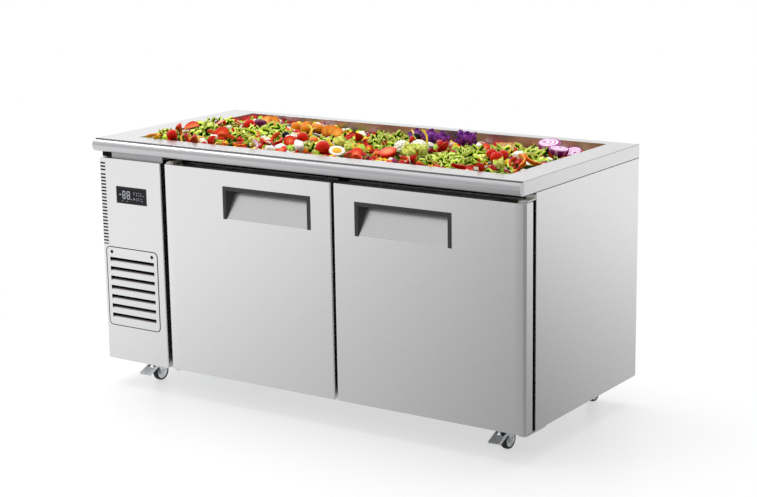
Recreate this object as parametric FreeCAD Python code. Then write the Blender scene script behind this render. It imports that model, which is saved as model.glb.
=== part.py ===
import FreeCAD, Part
import math
import os
from collections import namedtuple

from FreeCAD import Vector

# Millimetres. X runs along the counter, -Y is the front, Z is up, and the origin is on the floor
# under the middle of the counter.

# Overall sizes
LENGTH = 1500.0
DEPTH = 700.0
BODY_HEIGHT = 660.0
TOP_THICKNESS = 40.0
SHEET = 1.5

# Front layout
NOSE_OVERHANG = 28.0
DOOR_THICKNESS = 42.0
DOOR_BOTTOM_GAP = 2.0
DOOR_TOP_GAP = 22.0
DOOR_GAP = 9.0
PANEL_WIDTH = 245.0
PANEL_GAP = 12.0

# Carcass walls
FRAME_DEPTH = 6.0
FRAME_OVERLAP = 15.0
FRAME_LIP = 12.0
MULLION_WIDTH = 93.0
DOORWAY_RADIUS = 8.0
SIDE_FOAM = 48.5
BACK_FOAM = 45.0
FLOOR_FOAM = 45.0
PARTITION_FOAM = 62.0
WELL_FOAM = 30.0
BACK_RECESS = 15.0
BACK_RETURN = 30.0
BASE_RETURN = 25.0
PANEL_BEND = 3.0

# Worktop
NOSE_DEPTH = 20.0
NOSE_STEP = 2.0
TOP_BEND = 2.5
WELL_LEFT_MARGIN = 110.0
WELL_RIGHT_MARGIN_MIN = 60.0
WELL_FRONT_MARGIN = 71.0
WELL_BACK_MARGIN = 43.0
WELL_RADIUS = 6.0
WELL_RIM = 12.0
LEDGE_DROP = 38.0

# Food pans and their bars
PAN_WIDTH = 325.0
PAN_DEPTH = 100.0
PAN_SHEET = 1.2
PAN_FLANGE = 13.0
PAN_TAPER = 10.0
PAN_RADIUS = 32.0
PAN_FLANGE_RADIUS = 14.0
PAN_GAP = 1.0
PAN_END_GAP = 2.0
PAN_SIDE_GAP = 18.0
PAN_BODY_CLEARANCE = 1.0
PAN_FLOOR_GAP = 15.0
BAR_HEIGHT = 20.0
BAR_CLEARANCE = 2.0
BAR_END_CLEARANCE = 0.3
LUG_DEPTH = 12.0
LUG_THICKNESS = 3.0
AIR_SLOT_LENGTH = 100.0
AIR_SLOT_WIDTH = 10.0
AIR_SLOT_PITCH = 160.0
AIR_SLOT_EDGE = 60.0

# Doors
DOOR_EDGE_BAND = 36.0
DOOR_EDGE_SETBACK = 2.5
DOOR_EDGE_RADIUS = 8.0
DOOR_FREE_RADIUS = 4.0
PLUG_INSET = 52.0
PLUG_DEPTH = 9.0
PLUG_RADIUS = 14.0
GASKET_INSET = 17.0
GASKET_WIDTH = 22.0
GASKET_THICKNESS = 17.7
GASKET_CLEARANCE = 0.3
GASKET_RADIUS = 9.0

# Pocket handles
HANDLE_WIDTH = 318.0
HANDLE_HEIGHT = 98.0
HANDLE_FROM_EDGE = 72.0
HANDLE_FROM_TOP = 46.0
HANDLE_BAR = 12.0
HANDLE_PROUD = 1.5
HANDLE_DEPTH = 34.0
HANDLE_DRAFT = 12.0
HANDLE_WALL = 2.5
HANDLE_HIDDEN_EDGE = 6.0
HANDLE_CLEARANCE = 0.3

# Door hinges
HINGE_FROM_EDGE = 15.0
PIN_RADIUS = 5.0
PIN_CLEARANCE = 0.06
PIN_REACH = 20.0
PIN_HEAD_RADIUS = 7.0
PIN_HEAD = 2.0
BUSH_HALF = 9.0
BUSH_LENGTH = 24.0
BUSH_FLANGE = 1.5
BUSH_FLANGE_HALF = 12.0
BUSH_CLEARANCE = 0.05
BRACKET_WIDTH = 28.0
BRACKET_THICKNESS = 4.0
BRACKET_GAP = 0.5
BRACKET_LEG = 14.0
BRACKET_FOOT = 60.0
BRACKET_CHAMFER = 8.0

# Service panel
SLOT_LEFT = 3.0
SLOT_WIDTH = 20.0
SLOT_HEIGHT = 5.0
SLOT_PITCH = 10.4
SLOT_BREAK = 4.0
SLOT_BREAK_AFTER = 3
SLOT_TOP_DROP = 14.0
SLOT_TO_GRILLE = 5.0
DISPLAY_LEFT = 65.0
DISPLAY_WIDTH = 120.0
DISPLAY_HEIGHT = 52.0
DISPLAY_TOP_DROP = 84.0
DISPLAY_PROUD = 1.0
DISPLAY_RADIUS = 2.0
DISPLAY_CLEARANCE = 0.3
CONTROLLER_DEPTH = 50.0
CONTROLLER_INSET = 4.0
CONTROLLER_LIP = 5.0
CONTROLLER_LIP_THICKNESS = 2.0
FASCIA_INSET_LEFT = 41.0
FASCIA_SETBACK = 12.0

# Louvred grille
GRILLE_LEFT = 12.5
GRILLE_WIDTH = 205.0
GRILLE_HEIGHT = 248.0
GRILLE_BOTTOM = 111.0
GRILLE_RADIUS = 13.0
GRILLE_PROUD = 0.5
GRILLE_GAP = 1.6
GRILLE_LIP = 8.0
LOUVRE_COUNT = 7
LOUVRE_WIDTH = 179.0
LOUVRE_HEIGHT = 15.0
LOUVRE_PITCH = 29.8
LOUVRE_TOP_DROP = 32.0
LOUVRE_DEPTH = 14.0
LOUVRE_CHEEK = 1.5
SCREW_SIDE = 21.0
SCREW_DROP = 15.0
SCREW_HEAD_RADIUS = 4.5
SCREW_HEAD = 2.5
SCREW_RADIUS = 1.8
SCREW_LENGTH = 12.0
SCREW_CLEARANCE = 0.2

# Vents in the left side and the back of the machine compartment
VENT_COUNT = 9
VENT_LENGTH = 150.0
VENT_HEIGHT = 8.0
VENT_PITCH = 20.0
VENT_BOTTOM = 260.0

# Condensing unit
TRAY_INSET = 9.0
TRAY_HEIGHT = 20.0
COIL_HEIGHT = 320.0
COIL_DEPTH = 36.0
COIL_SIDE_GAP = 16.0
COIL_PLATE = 2.0
COIL_PLATE_MARGIN = 4.0
COIL_FRONT_GAP = 10.0
COIL_TUBE = 8.0
COIL_TUBE_PITCH = 25.0
COIL_BENDS = 3
FAN_HOLE_RADIUS = 86.0
FAN_RADIUS = 82.0
FAN_HUB_RADIUS = 20.0
FAN_HUB_LENGTH = 26.0
FAN_BLADES = 5
FAN_ROOT_CHORD = 30.0
FAN_TIP_CHORD = 62.0
FAN_PITCH = 30.0
FAN_GAP = 9.0
MOTOR_RADIUS = 36.0
MOTOR_LENGTH = 55.0
MOTOR_GAP = 8.0
MOTOR_STAND_WIDTH = 45.0
MOTOR_STAND = 4.0
SHAFT_RADIUS = 4.0
SHAFT_CLEARANCE = 0.05
SHAFT_SEAT = 20.0
COMPRESSOR_RADIUS = 75.0
COMPRESSOR_HEIGHT = 200.0
COMPRESSOR_BEHIND = 150.0
COMPRESSOR_FOOT = 12.0
COMPRESSOR_FOOT_HALF = 11.0
COMPRESSOR_PLATE = 4.0
COMPRESSOR_PLATE_WIDTH = 170.0
COMPRESSOR_PLATE_LENGTH = 190.0
COMPRESSOR_LOW_SHOULDER = 22.0
COMPRESSOR_HIGH_SHOULDER = 36.0
DISCHARGE_HEIGHT = 140.0
SUCTION_HEIGHT = 70.0
STUB_RADIUS = 6.0
STUB_LENGTH = 16.0
PIPE_RADIUS = 4.0
PIPE_BEND = 22.0
PIPE_STANDOFF = 44.0
HOT_PIPE_ABOVE_COIL = 74.0
LIQUID_PIPE_ABOVE_COIL = 120.0
LIQUID_PIPE_RUN = 210.0
SUCTION_PIPE_RISE = 176.0
DRIER_FROM_BEND = 70.0
DRIER_RADIUS = 12.0
DRIER_LENGTH = 70.0
GLAND_RADIUS = 12.0
GLAND_LENGTH = 12.0
GLAND_NECK_RADIUS = 8.0
GLAND_BORE_RADIUS = 4.5
GLAND_NUT = 8.0
GLAND_NOSE_RADIUS = 7.5
GLAND_CLEARANCE = 0.2
GLAND_HEIGHT = 90.0
GLAND_FROM_SIDE = 60.0

# Evaporator unit on the left wall of the cold compartment
EVAP_WIDTH = 380.0
EVAP_HEIGHT = 220.0
EVAP_DEPTH = 78.0
EVAP_TOP_GAP = 24.0
EVAP_BACK_GAP = 27.0
EVAP_RADIUS = 6.0
EVAP_COIL_DEPTH = 30.0
EVAP_COIL_MARGIN = 20.0
EVAP_HOLE_RADIUS = 64.0
EVAP_FAN_RADIUS = 60.0
EVAP_HUB_RADIUS = 18.0
EVAP_HUB_LENGTH = 18.0
EVAP_MOTOR_RADIUS = 22.0
EVAP_MOTOR_LENGTH = 15.0
EVAP_STRAP = 3.0
EVAP_STRAP_WIDTH = 24.0
EVAP_SHAFT_RADIUS = 3.0
EVAP_ROOT_CHORD = 26.0
EVAP_TIP_CHORD = 44.0
EVAP_SLOT_COUNT = 8
EVAP_SLOT_LENGTH = 38.0
EVAP_SLOT_WIDTH = 18.0

# Shelves
SHELF_BELOW_EVAP = 45.0
RAIL_WIDTH = 22.0
RAIL_HEIGHT = 20.0
RAIL_END_GAP = 12.0
SHELF_SIDE_GAP = 5.0
SHELF_DEPTH_GAP = 14.0
SHELF_ROD = 6.0
SHELF_WIRE = 4.0
SHELF_WIRE_PITCH = 36.0
SHELF_SINK = 1.5
SHELF_RODS = 3

# Castors
CASTOR_FROM_END = 115.0
CASTOR_TRAIL = 22.0
CASTOR_PLATE_X = 60.0
CASTOR_PLATE_Y = 54.0
CASTOR_PLATE_THICKNESS = 3.0
CASTOR_PLATE_EDGE = 1.0
CASTOR_REAR_FROM_BACK = 75.0
RACE_RADIUS = 20.0
RACE_HEIGHT = 6.0
KINGPIN_RADIUS = 5.0
KINGPIN_CLEARANCE = 0.06
KINGPIN_HEAD_RADIUS = 9.0
KINGPIN_HEAD = 2.5
SWIVEL_GAP = 0.3
CROWN_REACH = 22.0
CROWN_CHAMFER = 8.0
CROWN_THICKNESS = 7.5
FORK_SHEET = 3.0
FORK_END_RADIUS = 11.0
FORK_END_CHAMFER = 6.5
FORK_NOSE = 15.0
FORK_BACK = 20.0
WHEEL_RADIUS = 29.0
WHEEL_WIDTH = 20.0
WHEEL_SIDE_GAP = 2.0
WHEEL_TOP_GAP = 7.4
AXLE_RADIUS = 4.0
AXLE_CLEARANCE = 0.05
AXLE_HEAD_RADIUS = 7.0
AXLE_HEAD = 2.0
PEDAL_PIVOT_Y = 2.0
PEDAL_ABOVE_WHEEL = 2.0
PEDAL_PIN_RADIUS = 3.0
PEDAL_PIN_CLEARANCE = 0.06
PEDAL_SHEET = 2.0
PEDAL_GAP = 0.3
PEDAL_REACH = 56.0
PEDAL_DROP = 24.0
PEDAL_TREAD_START = 30.0
PEDAL_ARM_HALF = 5.5
PEDAL_ROUND = 5.0

# Levels and planes worked out from the sizes above
LEFT = -LENGTH / 2
RIGHT = LENGTH / 2
FRONT = -DEPTH / 2
BACK = DEPTH / 2
CASTOR_X = LENGTH / 2 - CASTOR_FROM_END
CASTOR_HEIGHT = (2 * WHEEL_RADIUS + WHEEL_TOP_GAP + KINGPIN_HEAD + 2 * SWIVEL_GAP + CROWN_THICKNESS
                 + RACE_HEIGHT + CASTOR_PLATE_THICKNESS)
PEDAL_PIVOT_Z = 2 * WHEEL_RADIUS + PEDAL_ABOVE_WHEEL
BASE_Z = CASTOR_HEIGHT
UNDER_TOP = BASE_Z + BODY_HEIGHT
TOP_Z = UNDER_TOP + TOP_THICKNESS
DOOR_FRONT = FRONT + NOSE_OVERHANG
DOOR_BACK = DOOR_FRONT + DOOR_THICKNESS
CARCASS_FRONT = DOOR_BACK + GASKET_THICKNESS + GASKET_CLEARANCE
FRAME_BACK = CARCASS_FRONT + FRAME_DEPTH
BACK_PANEL = BACK - BACK_RECESS
INSIDE_BACK = BACK_PANEL - SHEET
DOOR_HEIGHT = BODY_HEIGHT - DOOR_BOTTOM_GAP - DOOR_TOP_GAP
DOOR_Z0 = BASE_Z + DOOR_BOTTOM_GAP
DOOR_Z1 = DOOR_Z0 + DOOR_HEIGHT
PANEL_RIGHT = LEFT + PANEL_WIDTH
DOORS_LEFT = PANEL_RIGHT + PANEL_GAP
DOOR_WIDTH = (RIGHT - DOORS_LEFT - DOOR_GAP) / 2
DOORS_MIDDLE = (DOORS_LEFT + RIGHT) / 2
FLOOR_TOP = BASE_Z + SHEET
NOSE_BACK = FRONT + NOSE_DEPTH

PAN_PITCH = PAN_WIDTH + PAN_GAP
WELL_ROOM = LENGTH - WELL_LEFT_MARGIN - WELL_RIGHT_MARGIN_MIN
PAN_COUNT = int((WELL_ROOM - 2 * PAN_END_GAP + PAN_GAP) / PAN_PITCH)
WELL_LENGTH = PAN_COUNT * PAN_PITCH - PAN_GAP + 2 * PAN_END_GAP
PAN_LENGTH = DEPTH - NOSE_DEPTH - WELL_FRONT_MARGIN - WELL_BACK_MARGIN - 2 * PAN_SIDE_GAP
LEDGE_Z = TOP_Z - LEDGE_DROP
TUB_FLOOR = LEDGE_Z - PAN_DEPTH - PAN_FLOOR_GAP

Box = namedtuple("Box", "x0 x1 y0 y1 z0 z1")


def solid(b):
    return Part.makeBox(b.x1 - b.x0, b.y1 - b.y0, b.z1 - b.z0, Vector(b.x0, b.y0, b.z0))


def grown(b, x=0.0, y=0.0, z=0.0):
    return Box(b.x0 - x, b.x1 + x, b.y0 - y, b.y1 + y, b.z0 - z, b.z1 + z)


def tray(b, wall, open_sides):
    """A folded tray: the box less its inside, which runs out past each open side."""
    inside = {}
    for side in Box._fields:
        inward = wall if side.endswith("0") else -wall
        inside[side] = getattr(b, side) + (-inward if side in open_sides else inward)
    return solid(b).cut(solid(Box(**inside)))


def outline(points, radii):
    """A closed wire through the points, with each corner rounded by its own radius (0 is sharp)."""
    if not isinstance(radii, (list, tuple)):
        radii = [radii] * len(points)
    corners = []
    for i, corner in enumerate(points):
        back = (points[i - 1] - corner).normalize()
        ahead = (points[(i + 1) % len(points)] - corner).normalize()
        half = back.getAngle(ahead) / 2
        inward = (back + ahead).normalize()
        reach = radii[i] / math.tan(half)
        middle = corner + inward * (radii[i] / math.sin(half) - radii[i])
        corners.append((corner + back * reach, middle, corner + ahead * reach))
    edges = []
    for i, (start, middle, end) in enumerate(corners):
        previous = corners[i - 1][2]
        if (start - previous).Length > 1e-6:
            edges.append(Part.LineSegment(previous, start).toShape())
        if radii[i]:
            edges.append(Part.Arc(start, middle, end).toShape())
    return Part.Wire(edges)


def face_corners(b, normal):
    """The four corners of the box's near face across the named axis, in order round it."""
    if normal == "x":
        return [Vector(b.x0, y, z) for y, z in ((b.y0, b.z0), (b.y1, b.z0), (b.y1, b.z1), (b.y0, b.z1))]
    if normal == "y":
        return [Vector(x, b.y0, z) for x, z in ((b.x0, b.z0), (b.x1, b.z0), (b.x1, b.z1), (b.x0, b.z1))]
    return [Vector(x, y, b.z0) for x, y in ((b.x0, b.y0), (b.x1, b.y0), (b.x1, b.y1), (b.x0, b.y1))]


def rounded(b, normal, radius):
    """A box whose four edges along the named axis are rounded."""
    sweep = {"x": Vector(b.x1 - b.x0, 0, 0), "y": Vector(0, b.y1 - b.y0, 0), "z": Vector(0, 0, b.z1 - b.z0)}
    return Part.Face(outline(face_corners(b, normal), radius)).extrude(sweep[normal])


def prism(points, sweep, radii=0.0):
    return Part.Face(outline(points, radii)).extrude(sweep)


def rod(radius, start, end):
    along = end - start
    return Part.makeCylinder(radius, along.Length, start, along)


def hex_bar(radius, start, end):
    """Six-sided bar with its corners on the radius."""
    along = end - start
    corners = [Vector(radius * math.cos(turn), radius * math.sin(turn), 0)
               for turn in (math.radians(60 * i) for i in range(6))]
    bar = prism(corners, Vector(0, 0, along.Length))
    bar.Placement = FreeCAD.Placement(start, FreeCAD.Rotation(Vector(0, 0, 1), along))
    return bar


def joined(*shapes):
    return shapes[0].fuse(list(shapes[1:])).removeSplitter()


def mirrored_door(shape):
    """The left door's piece: the right door's mirrored about the middle of the pair."""
    return shape.mirror(Vector(DOORS_MIDDLE, 0, 0), Vector(1, 0, 0))


# Well and compartment spaces that several pieces share
WELL = Box(LEFT + WELL_LEFT_MARGIN, LEFT + WELL_LEFT_MARGIN + WELL_LENGTH,
           NOSE_BACK + WELL_FRONT_MARGIN, BACK - WELL_BACK_MARGIN, LEDGE_Z, TOP_Z)
TUB_SEAT_X = PAN_END_GAP + PAN_FLANGE - PAN_BODY_CLEARANCE
TUB_SEAT_Y = PAN_SIDE_GAP + PAN_FLANGE - PAN_BODY_CLEARANCE
TUB = grown(WELL, -TUB_SEAT_X, -TUB_SEAT_Y)._replace(z0=TUB_FLOOR, z1=LEDGE_Z)
TUB_OUTSIDE = grown(TUB, SHEET, SHEET)._replace(z0=TUB_FLOOR - SHEET)
LINER = Box(PANEL_RIGHT + SHEET + PARTITION_FOAM, RIGHT - SHEET - SIDE_FOAM,
            FRAME_BACK, INSIDE_BACK - BACK_FOAM, FLOOR_TOP + FLOOR_FOAM, TUB_OUTSIDE.z0)
COLD = Box(LINER.x0 + SHEET, LINER.x1 - SHEET, LINER.y0, LINER.y1 - SHEET, LINER.z0 + SHEET, LINER.z1 - SHEET)
MACHINE_CEILING = TUB_OUTSIDE.z0 - WELL_FOAM
DOOR = Box(RIGHT - DOOR_WIDTH, RIGHT, DOOR_FRONT, DOOR_BACK, DOOR_Z0, DOOR_Z1)
HINGE_X = DOOR.x1 - HINGE_FROM_EDGE
HINGE_Y = (DOOR.y0 + DOOR.y1) / 2
HANDLE = Box(DOOR.x0 + HANDLE_FROM_EDGE, DOOR.x0 + HANDLE_FROM_EDGE + HANDLE_WIDTH, DOOR_FRONT,
             DOOR_FRONT + HANDLE_DEPTH, DOOR_Z1 - HANDLE_FROM_TOP - HANDLE_HEIGHT, DOOR_Z1 - HANDLE_FROM_TOP)
PANEL = Box(LEFT, PANEL_RIGHT, DOOR_FRONT, CARCASS_FRONT, BASE_Z, DOOR_Z1)
PANEL_BACK_FACE = DOOR_FRONT + SHEET
GRILLE = Box(LEFT + GRILLE_LEFT, LEFT + GRILLE_LEFT + GRILLE_WIDTH, DOOR_FRONT - GRILLE_PROUD,
             PANEL_BACK_FACE, BASE_Z + GRILLE_BOTTOM, BASE_Z + GRILLE_BOTTOM + GRILLE_HEIGHT)
DISPLAY = Box(LEFT + DISPLAY_LEFT, LEFT + DISPLAY_LEFT + DISPLAY_WIDTH, DOOR_FRONT - DISPLAY_PROUD,
              PANEL_BACK_FACE, DOOR_Z1 - DISPLAY_TOP_DROP - DISPLAY_HEIGHT, DOOR_Z1 - DISPLAY_TOP_DROP)


# Cabinet shell
def base_pan():
    floor = Box(LEFT + SHEET, RIGHT - SHEET, CARCASS_FRONT, INSIDE_BACK, BASE_Z, BASE_Z + BASE_RETURN)
    return tray(floor, SHEET, ("y0", "y1", "z1"))


def side_panel():
    """The right side: a sheet with a rounded return at the back."""
    outer = Box(RIGHT - BACK_RETURN, RIGHT, CARCASS_FRONT, BACK, BASE_Z, UNDER_TOP)
    corners = face_corners(outer, "z")
    body = prism(corners, Vector(0, 0, BODY_HEIGHT), [0, 0, PANEL_BEND, 0])
    inner = Box(outer.x0 - SHEET, outer.x1 - SHEET, outer.y0 - SHEET, outer.y1 - SHEET, outer.z0, outer.z1)
    return body.cut(solid(inner))


def vents(lowest):
    """A ladder of vent slots from the lowest one up."""
    rises = [i * VENT_PITCH for i in range(VENT_COUNT)]
    return [solid(lowest._replace(z0=lowest.z0 + rise, z1=lowest.z1 + rise)) for rise in rises]


def left_side_panel():
    panel = side_panel().mirror(Vector(0, 0, 0), Vector(1, 0, 0))
    slot = Box(LEFT - SHEET, LEFT + 2 * SHEET, -VENT_LENGTH / 2, VENT_LENGTH / 2,
               BASE_Z + VENT_BOTTOM, BASE_Z + VENT_BOTTOM + VENT_HEIGHT)
    return panel.cut(vents(slot))


def back_panel():
    sheet = solid(Box(LEFT + SHEET, RIGHT - SHEET, INSIDE_BACK, BACK_PANEL, BASE_Z, UNDER_TOP))
    middle = (LEFT + PANEL_RIGHT) / 2
    slot = Box(middle - VENT_LENGTH / 2, middle + VENT_LENGTH / 2, INSIDE_BACK - SHEET, BACK_PANEL + SHEET,
               BASE_Z + VENT_BOTTOM, BASE_Z + VENT_BOTTOM + VENT_HEIGHT)
    at = gland_centre()
    hole = rod(GLAND_NECK_RADIUS + GLAND_CLEARANCE, at - Vector(0, SHEET, 0), at + Vector(0, 2 * SHEET, 0))
    return sheet.cut(vents(slot) + [hole])


def cabinet_foam():
    """Foam round the cold compartment and under the part of the well above the machine compartment."""
    main = Box(PANEL_RIGHT + SHEET, RIGHT - SHEET, FRAME_BACK, INSIDE_BACK, FLOOR_TOP, UNDER_TOP)
    over_machine = main._replace(x0=LEFT + SHEET, x1=main.x0, z0=MACHINE_CEILING)
    return joined(solid(main), solid(over_machine)).cut([solid(LINER), solid(TUB_OUTSIDE), base_pan()])


def worktop_foam():
    block = solid(Box(LEFT + SHEET, RIGHT - SHEET, NOSE_BACK + SHEET, BACK - SHEET, UNDER_TOP, TOP_Z - SHEET))
    opening = grown(WELL, SHEET, SHEET)._replace(z0=UNDER_TOP - SHEET)
    rim = grown(WELL, WELL_RIM, WELL_RIM)._replace(z0=TOP_Z - 2 * SHEET)
    return block.cut([solid(opening), solid(rim)])


def air_slots():
    """Slots that let cold air rise through the compartment's ceiling and the tub's floor."""
    slots = []
    count = int((COLD.x1 - COLD.x0 - 2 * AIR_SLOT_EDGE - AIR_SLOT_LENGTH) / AIR_SLOT_PITCH) + 1
    for y in (TUB.y0 + AIR_SLOT_EDGE, TUB.y1 - AIR_SLOT_EDGE - AIR_SLOT_WIDTH):
        for i in range(count):
            x = COLD.x1 - AIR_SLOT_EDGE - AIR_SLOT_LENGTH - i * AIR_SLOT_PITCH
            slot = Box(x, x + AIR_SLOT_LENGTH, y, y + AIR_SLOT_WIDTH, COLD.z1 - SHEET, TUB.z0 + SHEET)
            slots.append(solid(slot))
    return slots


def inner_liner():
    return tray(LINER, SHEET, ("y0",)).cut(air_slots())


def machine_bulkhead():
    wall = Box(PANEL_RIGHT, PANEL_RIGHT + SHEET, FRAME_BACK, INSIDE_BACK, FLOOR_TOP, MACHINE_CEILING)
    ceiling = wall._replace(x0=LEFT + SHEET, x1=PANEL_RIGHT, z0=MACHINE_CEILING - SHEET)
    return joined(solid(wall), solid(ceiling))


def doorways():
    left_edge = COLD.x0 + FRAME_LIP
    right_edge = COLD.x1 - FRAME_LIP
    low = COLD.z0 + FRAME_LIP
    high = COLD.z1 - FRAME_OVERLAP
    near = DOORS_MIDDLE - MULLION_WIDTH / 2
    far = DOORS_MIDDLE + MULLION_WIDTH / 2
    front = CARCASS_FRONT - SHEET
    back = FRAME_BACK + SHEET
    return Box(left_edge, near, front, back, low, high), Box(far, right_edge, front, back, low, high)


def front_frame():
    """Door frame with its mullion, and a top rail that runs on over the machine compartment."""
    left = PANEL_RIGHT - FRAME_OVERLAP
    ring = solid(Box(left, RIGHT - SHEET, CARCASS_FRONT, FRAME_BACK, FLOOR_TOP, UNDER_TOP))
    rail = solid(Box(LEFT + SHEET, left, CARCASS_FRONT, FRAME_BACK, MACHINE_CEILING - SHEET, UNDER_TOP))
    openings = [rounded(opening, "y", DOORWAY_RADIUS) for opening in doorways()]
    return joined(ring, rail).cut(openings + [base_pan()])


# Worktop and well
def worktop():
    """Four folded strips round the well's mouth, welded flush."""
    outer = Box(LEFT, RIGHT, NOSE_BACK, BACK, UNDER_TOP, TOP_Z)
    body = solid(outer)
    top_edges = [e for e in body.Edges if min(v.Z for v in e.Vertexes) > TOP_Z - 1e-6]
    body = body.makeFillet(TOP_BEND, top_edges)
    inside = grown(outer, -SHEET, -SHEET)._replace(z0=UNDER_TOP - SHEET, z1=TOP_Z - SHEET)
    mouth = WELL._replace(z1=TOP_Z + SHEET)
    top = body.cut([solid(inside), rounded(mouth, "z", WELL_RADIUS)])
    between = outer._replace(y0=WELL.y0, y1=WELL.y1)
    strips = [outer._replace(y1=WELL.y0), outer._replace(y0=WELL.y1),
              between._replace(x1=WELL.x0 + WELL_RADIUS), between._replace(x0=WELL.x1 - WELL_RADIUS)]
    return [top.common(solid(strip)) for strip in strips]


def front_nosing():
    """Half-round nose along the front edge, a little lower than the top so that a dark line parts them."""
    high = TOP_Z - NOSE_STEP
    radius = (high - UNDER_TOP) / 2
    centre_y = FRONT + radius
    middle_z = UNDER_TOP + radius

    def section(inset, x0, x1):
        low_back = Vector(x0, NOSE_BACK, UNDER_TOP + inset)
        high_back = Vector(x0, NOSE_BACK, high - inset)
        low_front = Vector(x0, centre_y, UNDER_TOP + inset)
        high_front = Vector(x0, centre_y, high - inset)
        nose = Vector(x0, FRONT + inset, middle_z)
        curves = [Part.LineSegment(low_back, low_front), Part.Arc(low_front, nose, high_front),
                  Part.LineSegment(high_front, high_back), Part.LineSegment(high_back, low_back)]
        edges = [curve.toShape() for curve in curves]
        return Part.Face(Part.Wire(edges)).extrude(Vector(x1 - x0, 0, 0))

    return section(0.0, LEFT, RIGHT).cut(section(SHEET, LEFT + SHEET, RIGHT - SHEET))


def bar_places():
    return [WELL.x0 + PAN_END_GAP + (i + 1) * PAN_PITCH - PAN_GAP / 2 for i in range(PAN_COUNT - 1)]


BAR_HALF = PAN_GAP / 2 + PAN_FLANGE - BAR_CLEARANCE


def well_collar():
    """Upright wall of the well, with a rim that lies under the worktop."""
    rim = grown(WELL, WELL_RIM, WELL_RIM)._replace(z0=TOP_Z - 2 * SHEET, z1=TOP_Z - SHEET)
    wall = grown(WELL, SHEET, SHEET)._replace(z1=TOP_Z - SHEET)
    return joined(solid(rim), solid(wall)).cut(rounded(WELL, "z", WELL_RADIUS))


def well_tub():
    """Tub under the collar: a ledge for the pans, walls with lugs for the bars, and a floor."""
    ledge = grown(WELL, SHEET, SHEET)._replace(z0=LEDGE_Z - SHEET, z1=LEDGE_Z)
    body = joined(solid(ledge), solid(TUB_OUTSIDE)).cut(rounded(TUB, "z", WELL_RADIUS))
    lugs = []
    top = LEDGE_Z - BAR_HEIGHT
    for x in bar_places():
        for y in (TUB.y0, TUB.y1 - LUG_DEPTH):
            lugs.append(solid(Box(x - BAR_HALF, x + BAR_HALF, y, y + LUG_DEPTH, top - LUG_THICKNESS, top)))
    return joined(body, *lugs).cut(air_slots())


def divider_bars():
    bars = []
    for x in bar_places():
        bar = Box(x - BAR_HALF, x + BAR_HALF, TUB.y0 + BAR_END_CLEARANCE, TUB.y1 - BAR_END_CLEARANCE,
                  LEDGE_Z - BAR_HEIGHT, LEDGE_Z)
        bars.append(tray(bar, SHEET, ("z0",)))
    return bars


def food_pan(index):
    """Full-size gastronorm pan with tapered, round-cornered walls and a flat flange."""
    x0 = WELL.x0 + PAN_END_GAP + index * PAN_PITCH
    y0 = WELL.y0 + PAN_SIDE_GAP
    top = LEDGE_Z + PAN_SHEET
    flange = Box(x0, x0 + PAN_WIDTH, y0, y0 + PAN_LENGTH, LEDGE_Z, top)
    mouth = grown(flange, -PAN_FLANGE - PAN_BODY_CLEARANCE, -PAN_FLANGE - PAN_BODY_CLEARANCE)

    def cup(inset, floor):
        """Tapered space with round corners: a cone at each corner and two prisms between them."""
        height = top - floor
        b = grown(mouth, -inset, -inset)._replace(z0=floor, z1=top)
        core = grown(mouth, -PAN_RADIUS, -PAN_RADIUS)
        high_round = PAN_RADIUS - inset
        low_round = high_round - PAN_TAPER
        corners = [Part.makeCone(low_round, high_round, height, Vector(x, y, floor))
                   for x in (core.x0, core.x1) for y in (core.y0, core.y1)]
        end = [Vector(core.x0, b.y0 + PAN_TAPER, floor), Vector(core.x0, b.y1 - PAN_TAPER, floor),
               Vector(core.x0, b.y1, top), Vector(core.x0, b.y0, top)]
        side = [Vector(b.x0 + PAN_TAPER, core.y0, floor), Vector(b.x1 - PAN_TAPER, core.y0, floor),
                Vector(b.x1, core.y0, top), Vector(b.x0, core.y0, top)]
        across = prism(end, Vector(core.x1 - core.x0, 0, 0))
        along = prism(side, Vector(0, core.y1 - core.y0, 0))
        return joined(across, along, *corners)

    outer = joined(rounded(flange, "z", PAN_FLANGE_RADIUS), cup(0.0, LEDGE_Z - PAN_DEPTH))
    return outer.cut(cup(PAN_SHEET, LEDGE_Z - PAN_DEPTH + PAN_SHEET))


# Doors, built as the right one
def door_outline(inset, back):
    """Plan of the door: square at the free edge, a shallow set-back band and a round at the hinge edge."""
    front = DOOR.y0 + inset
    x0 = DOOR.x0 + inset
    x1 = DOOR.x1 - inset
    plan = ((x0, back), (x0, front), (DOOR.x1 - DOOR_EDGE_BAND, front), (x1, front + DOOR_EDGE_SETBACK),
            (x1, back))
    rounds = [0, DOOR_FREE_RADIUS - inset, 0, DOOR_EDGE_RADIUS - inset, 0]
    return outline([Vector(x, y, 0) for x, y in plan], rounds)


def door_block(inset, back):
    face = Part.Face(door_outline(inset, back))
    face.translate(Vector(0, 0, DOOR.z0 + inset))
    return face.extrude(Vector(0, 0, DOOR_HEIGHT - 2 * inset))


HANDLE_SLOPE_TOP = HANDLE.z1 - HANDLE_BAR
HANDLE_OPENING = grown(HANDLE, -HANDLE_BAR)._replace(z1=HANDLE_SLOPE_TOP)


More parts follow.
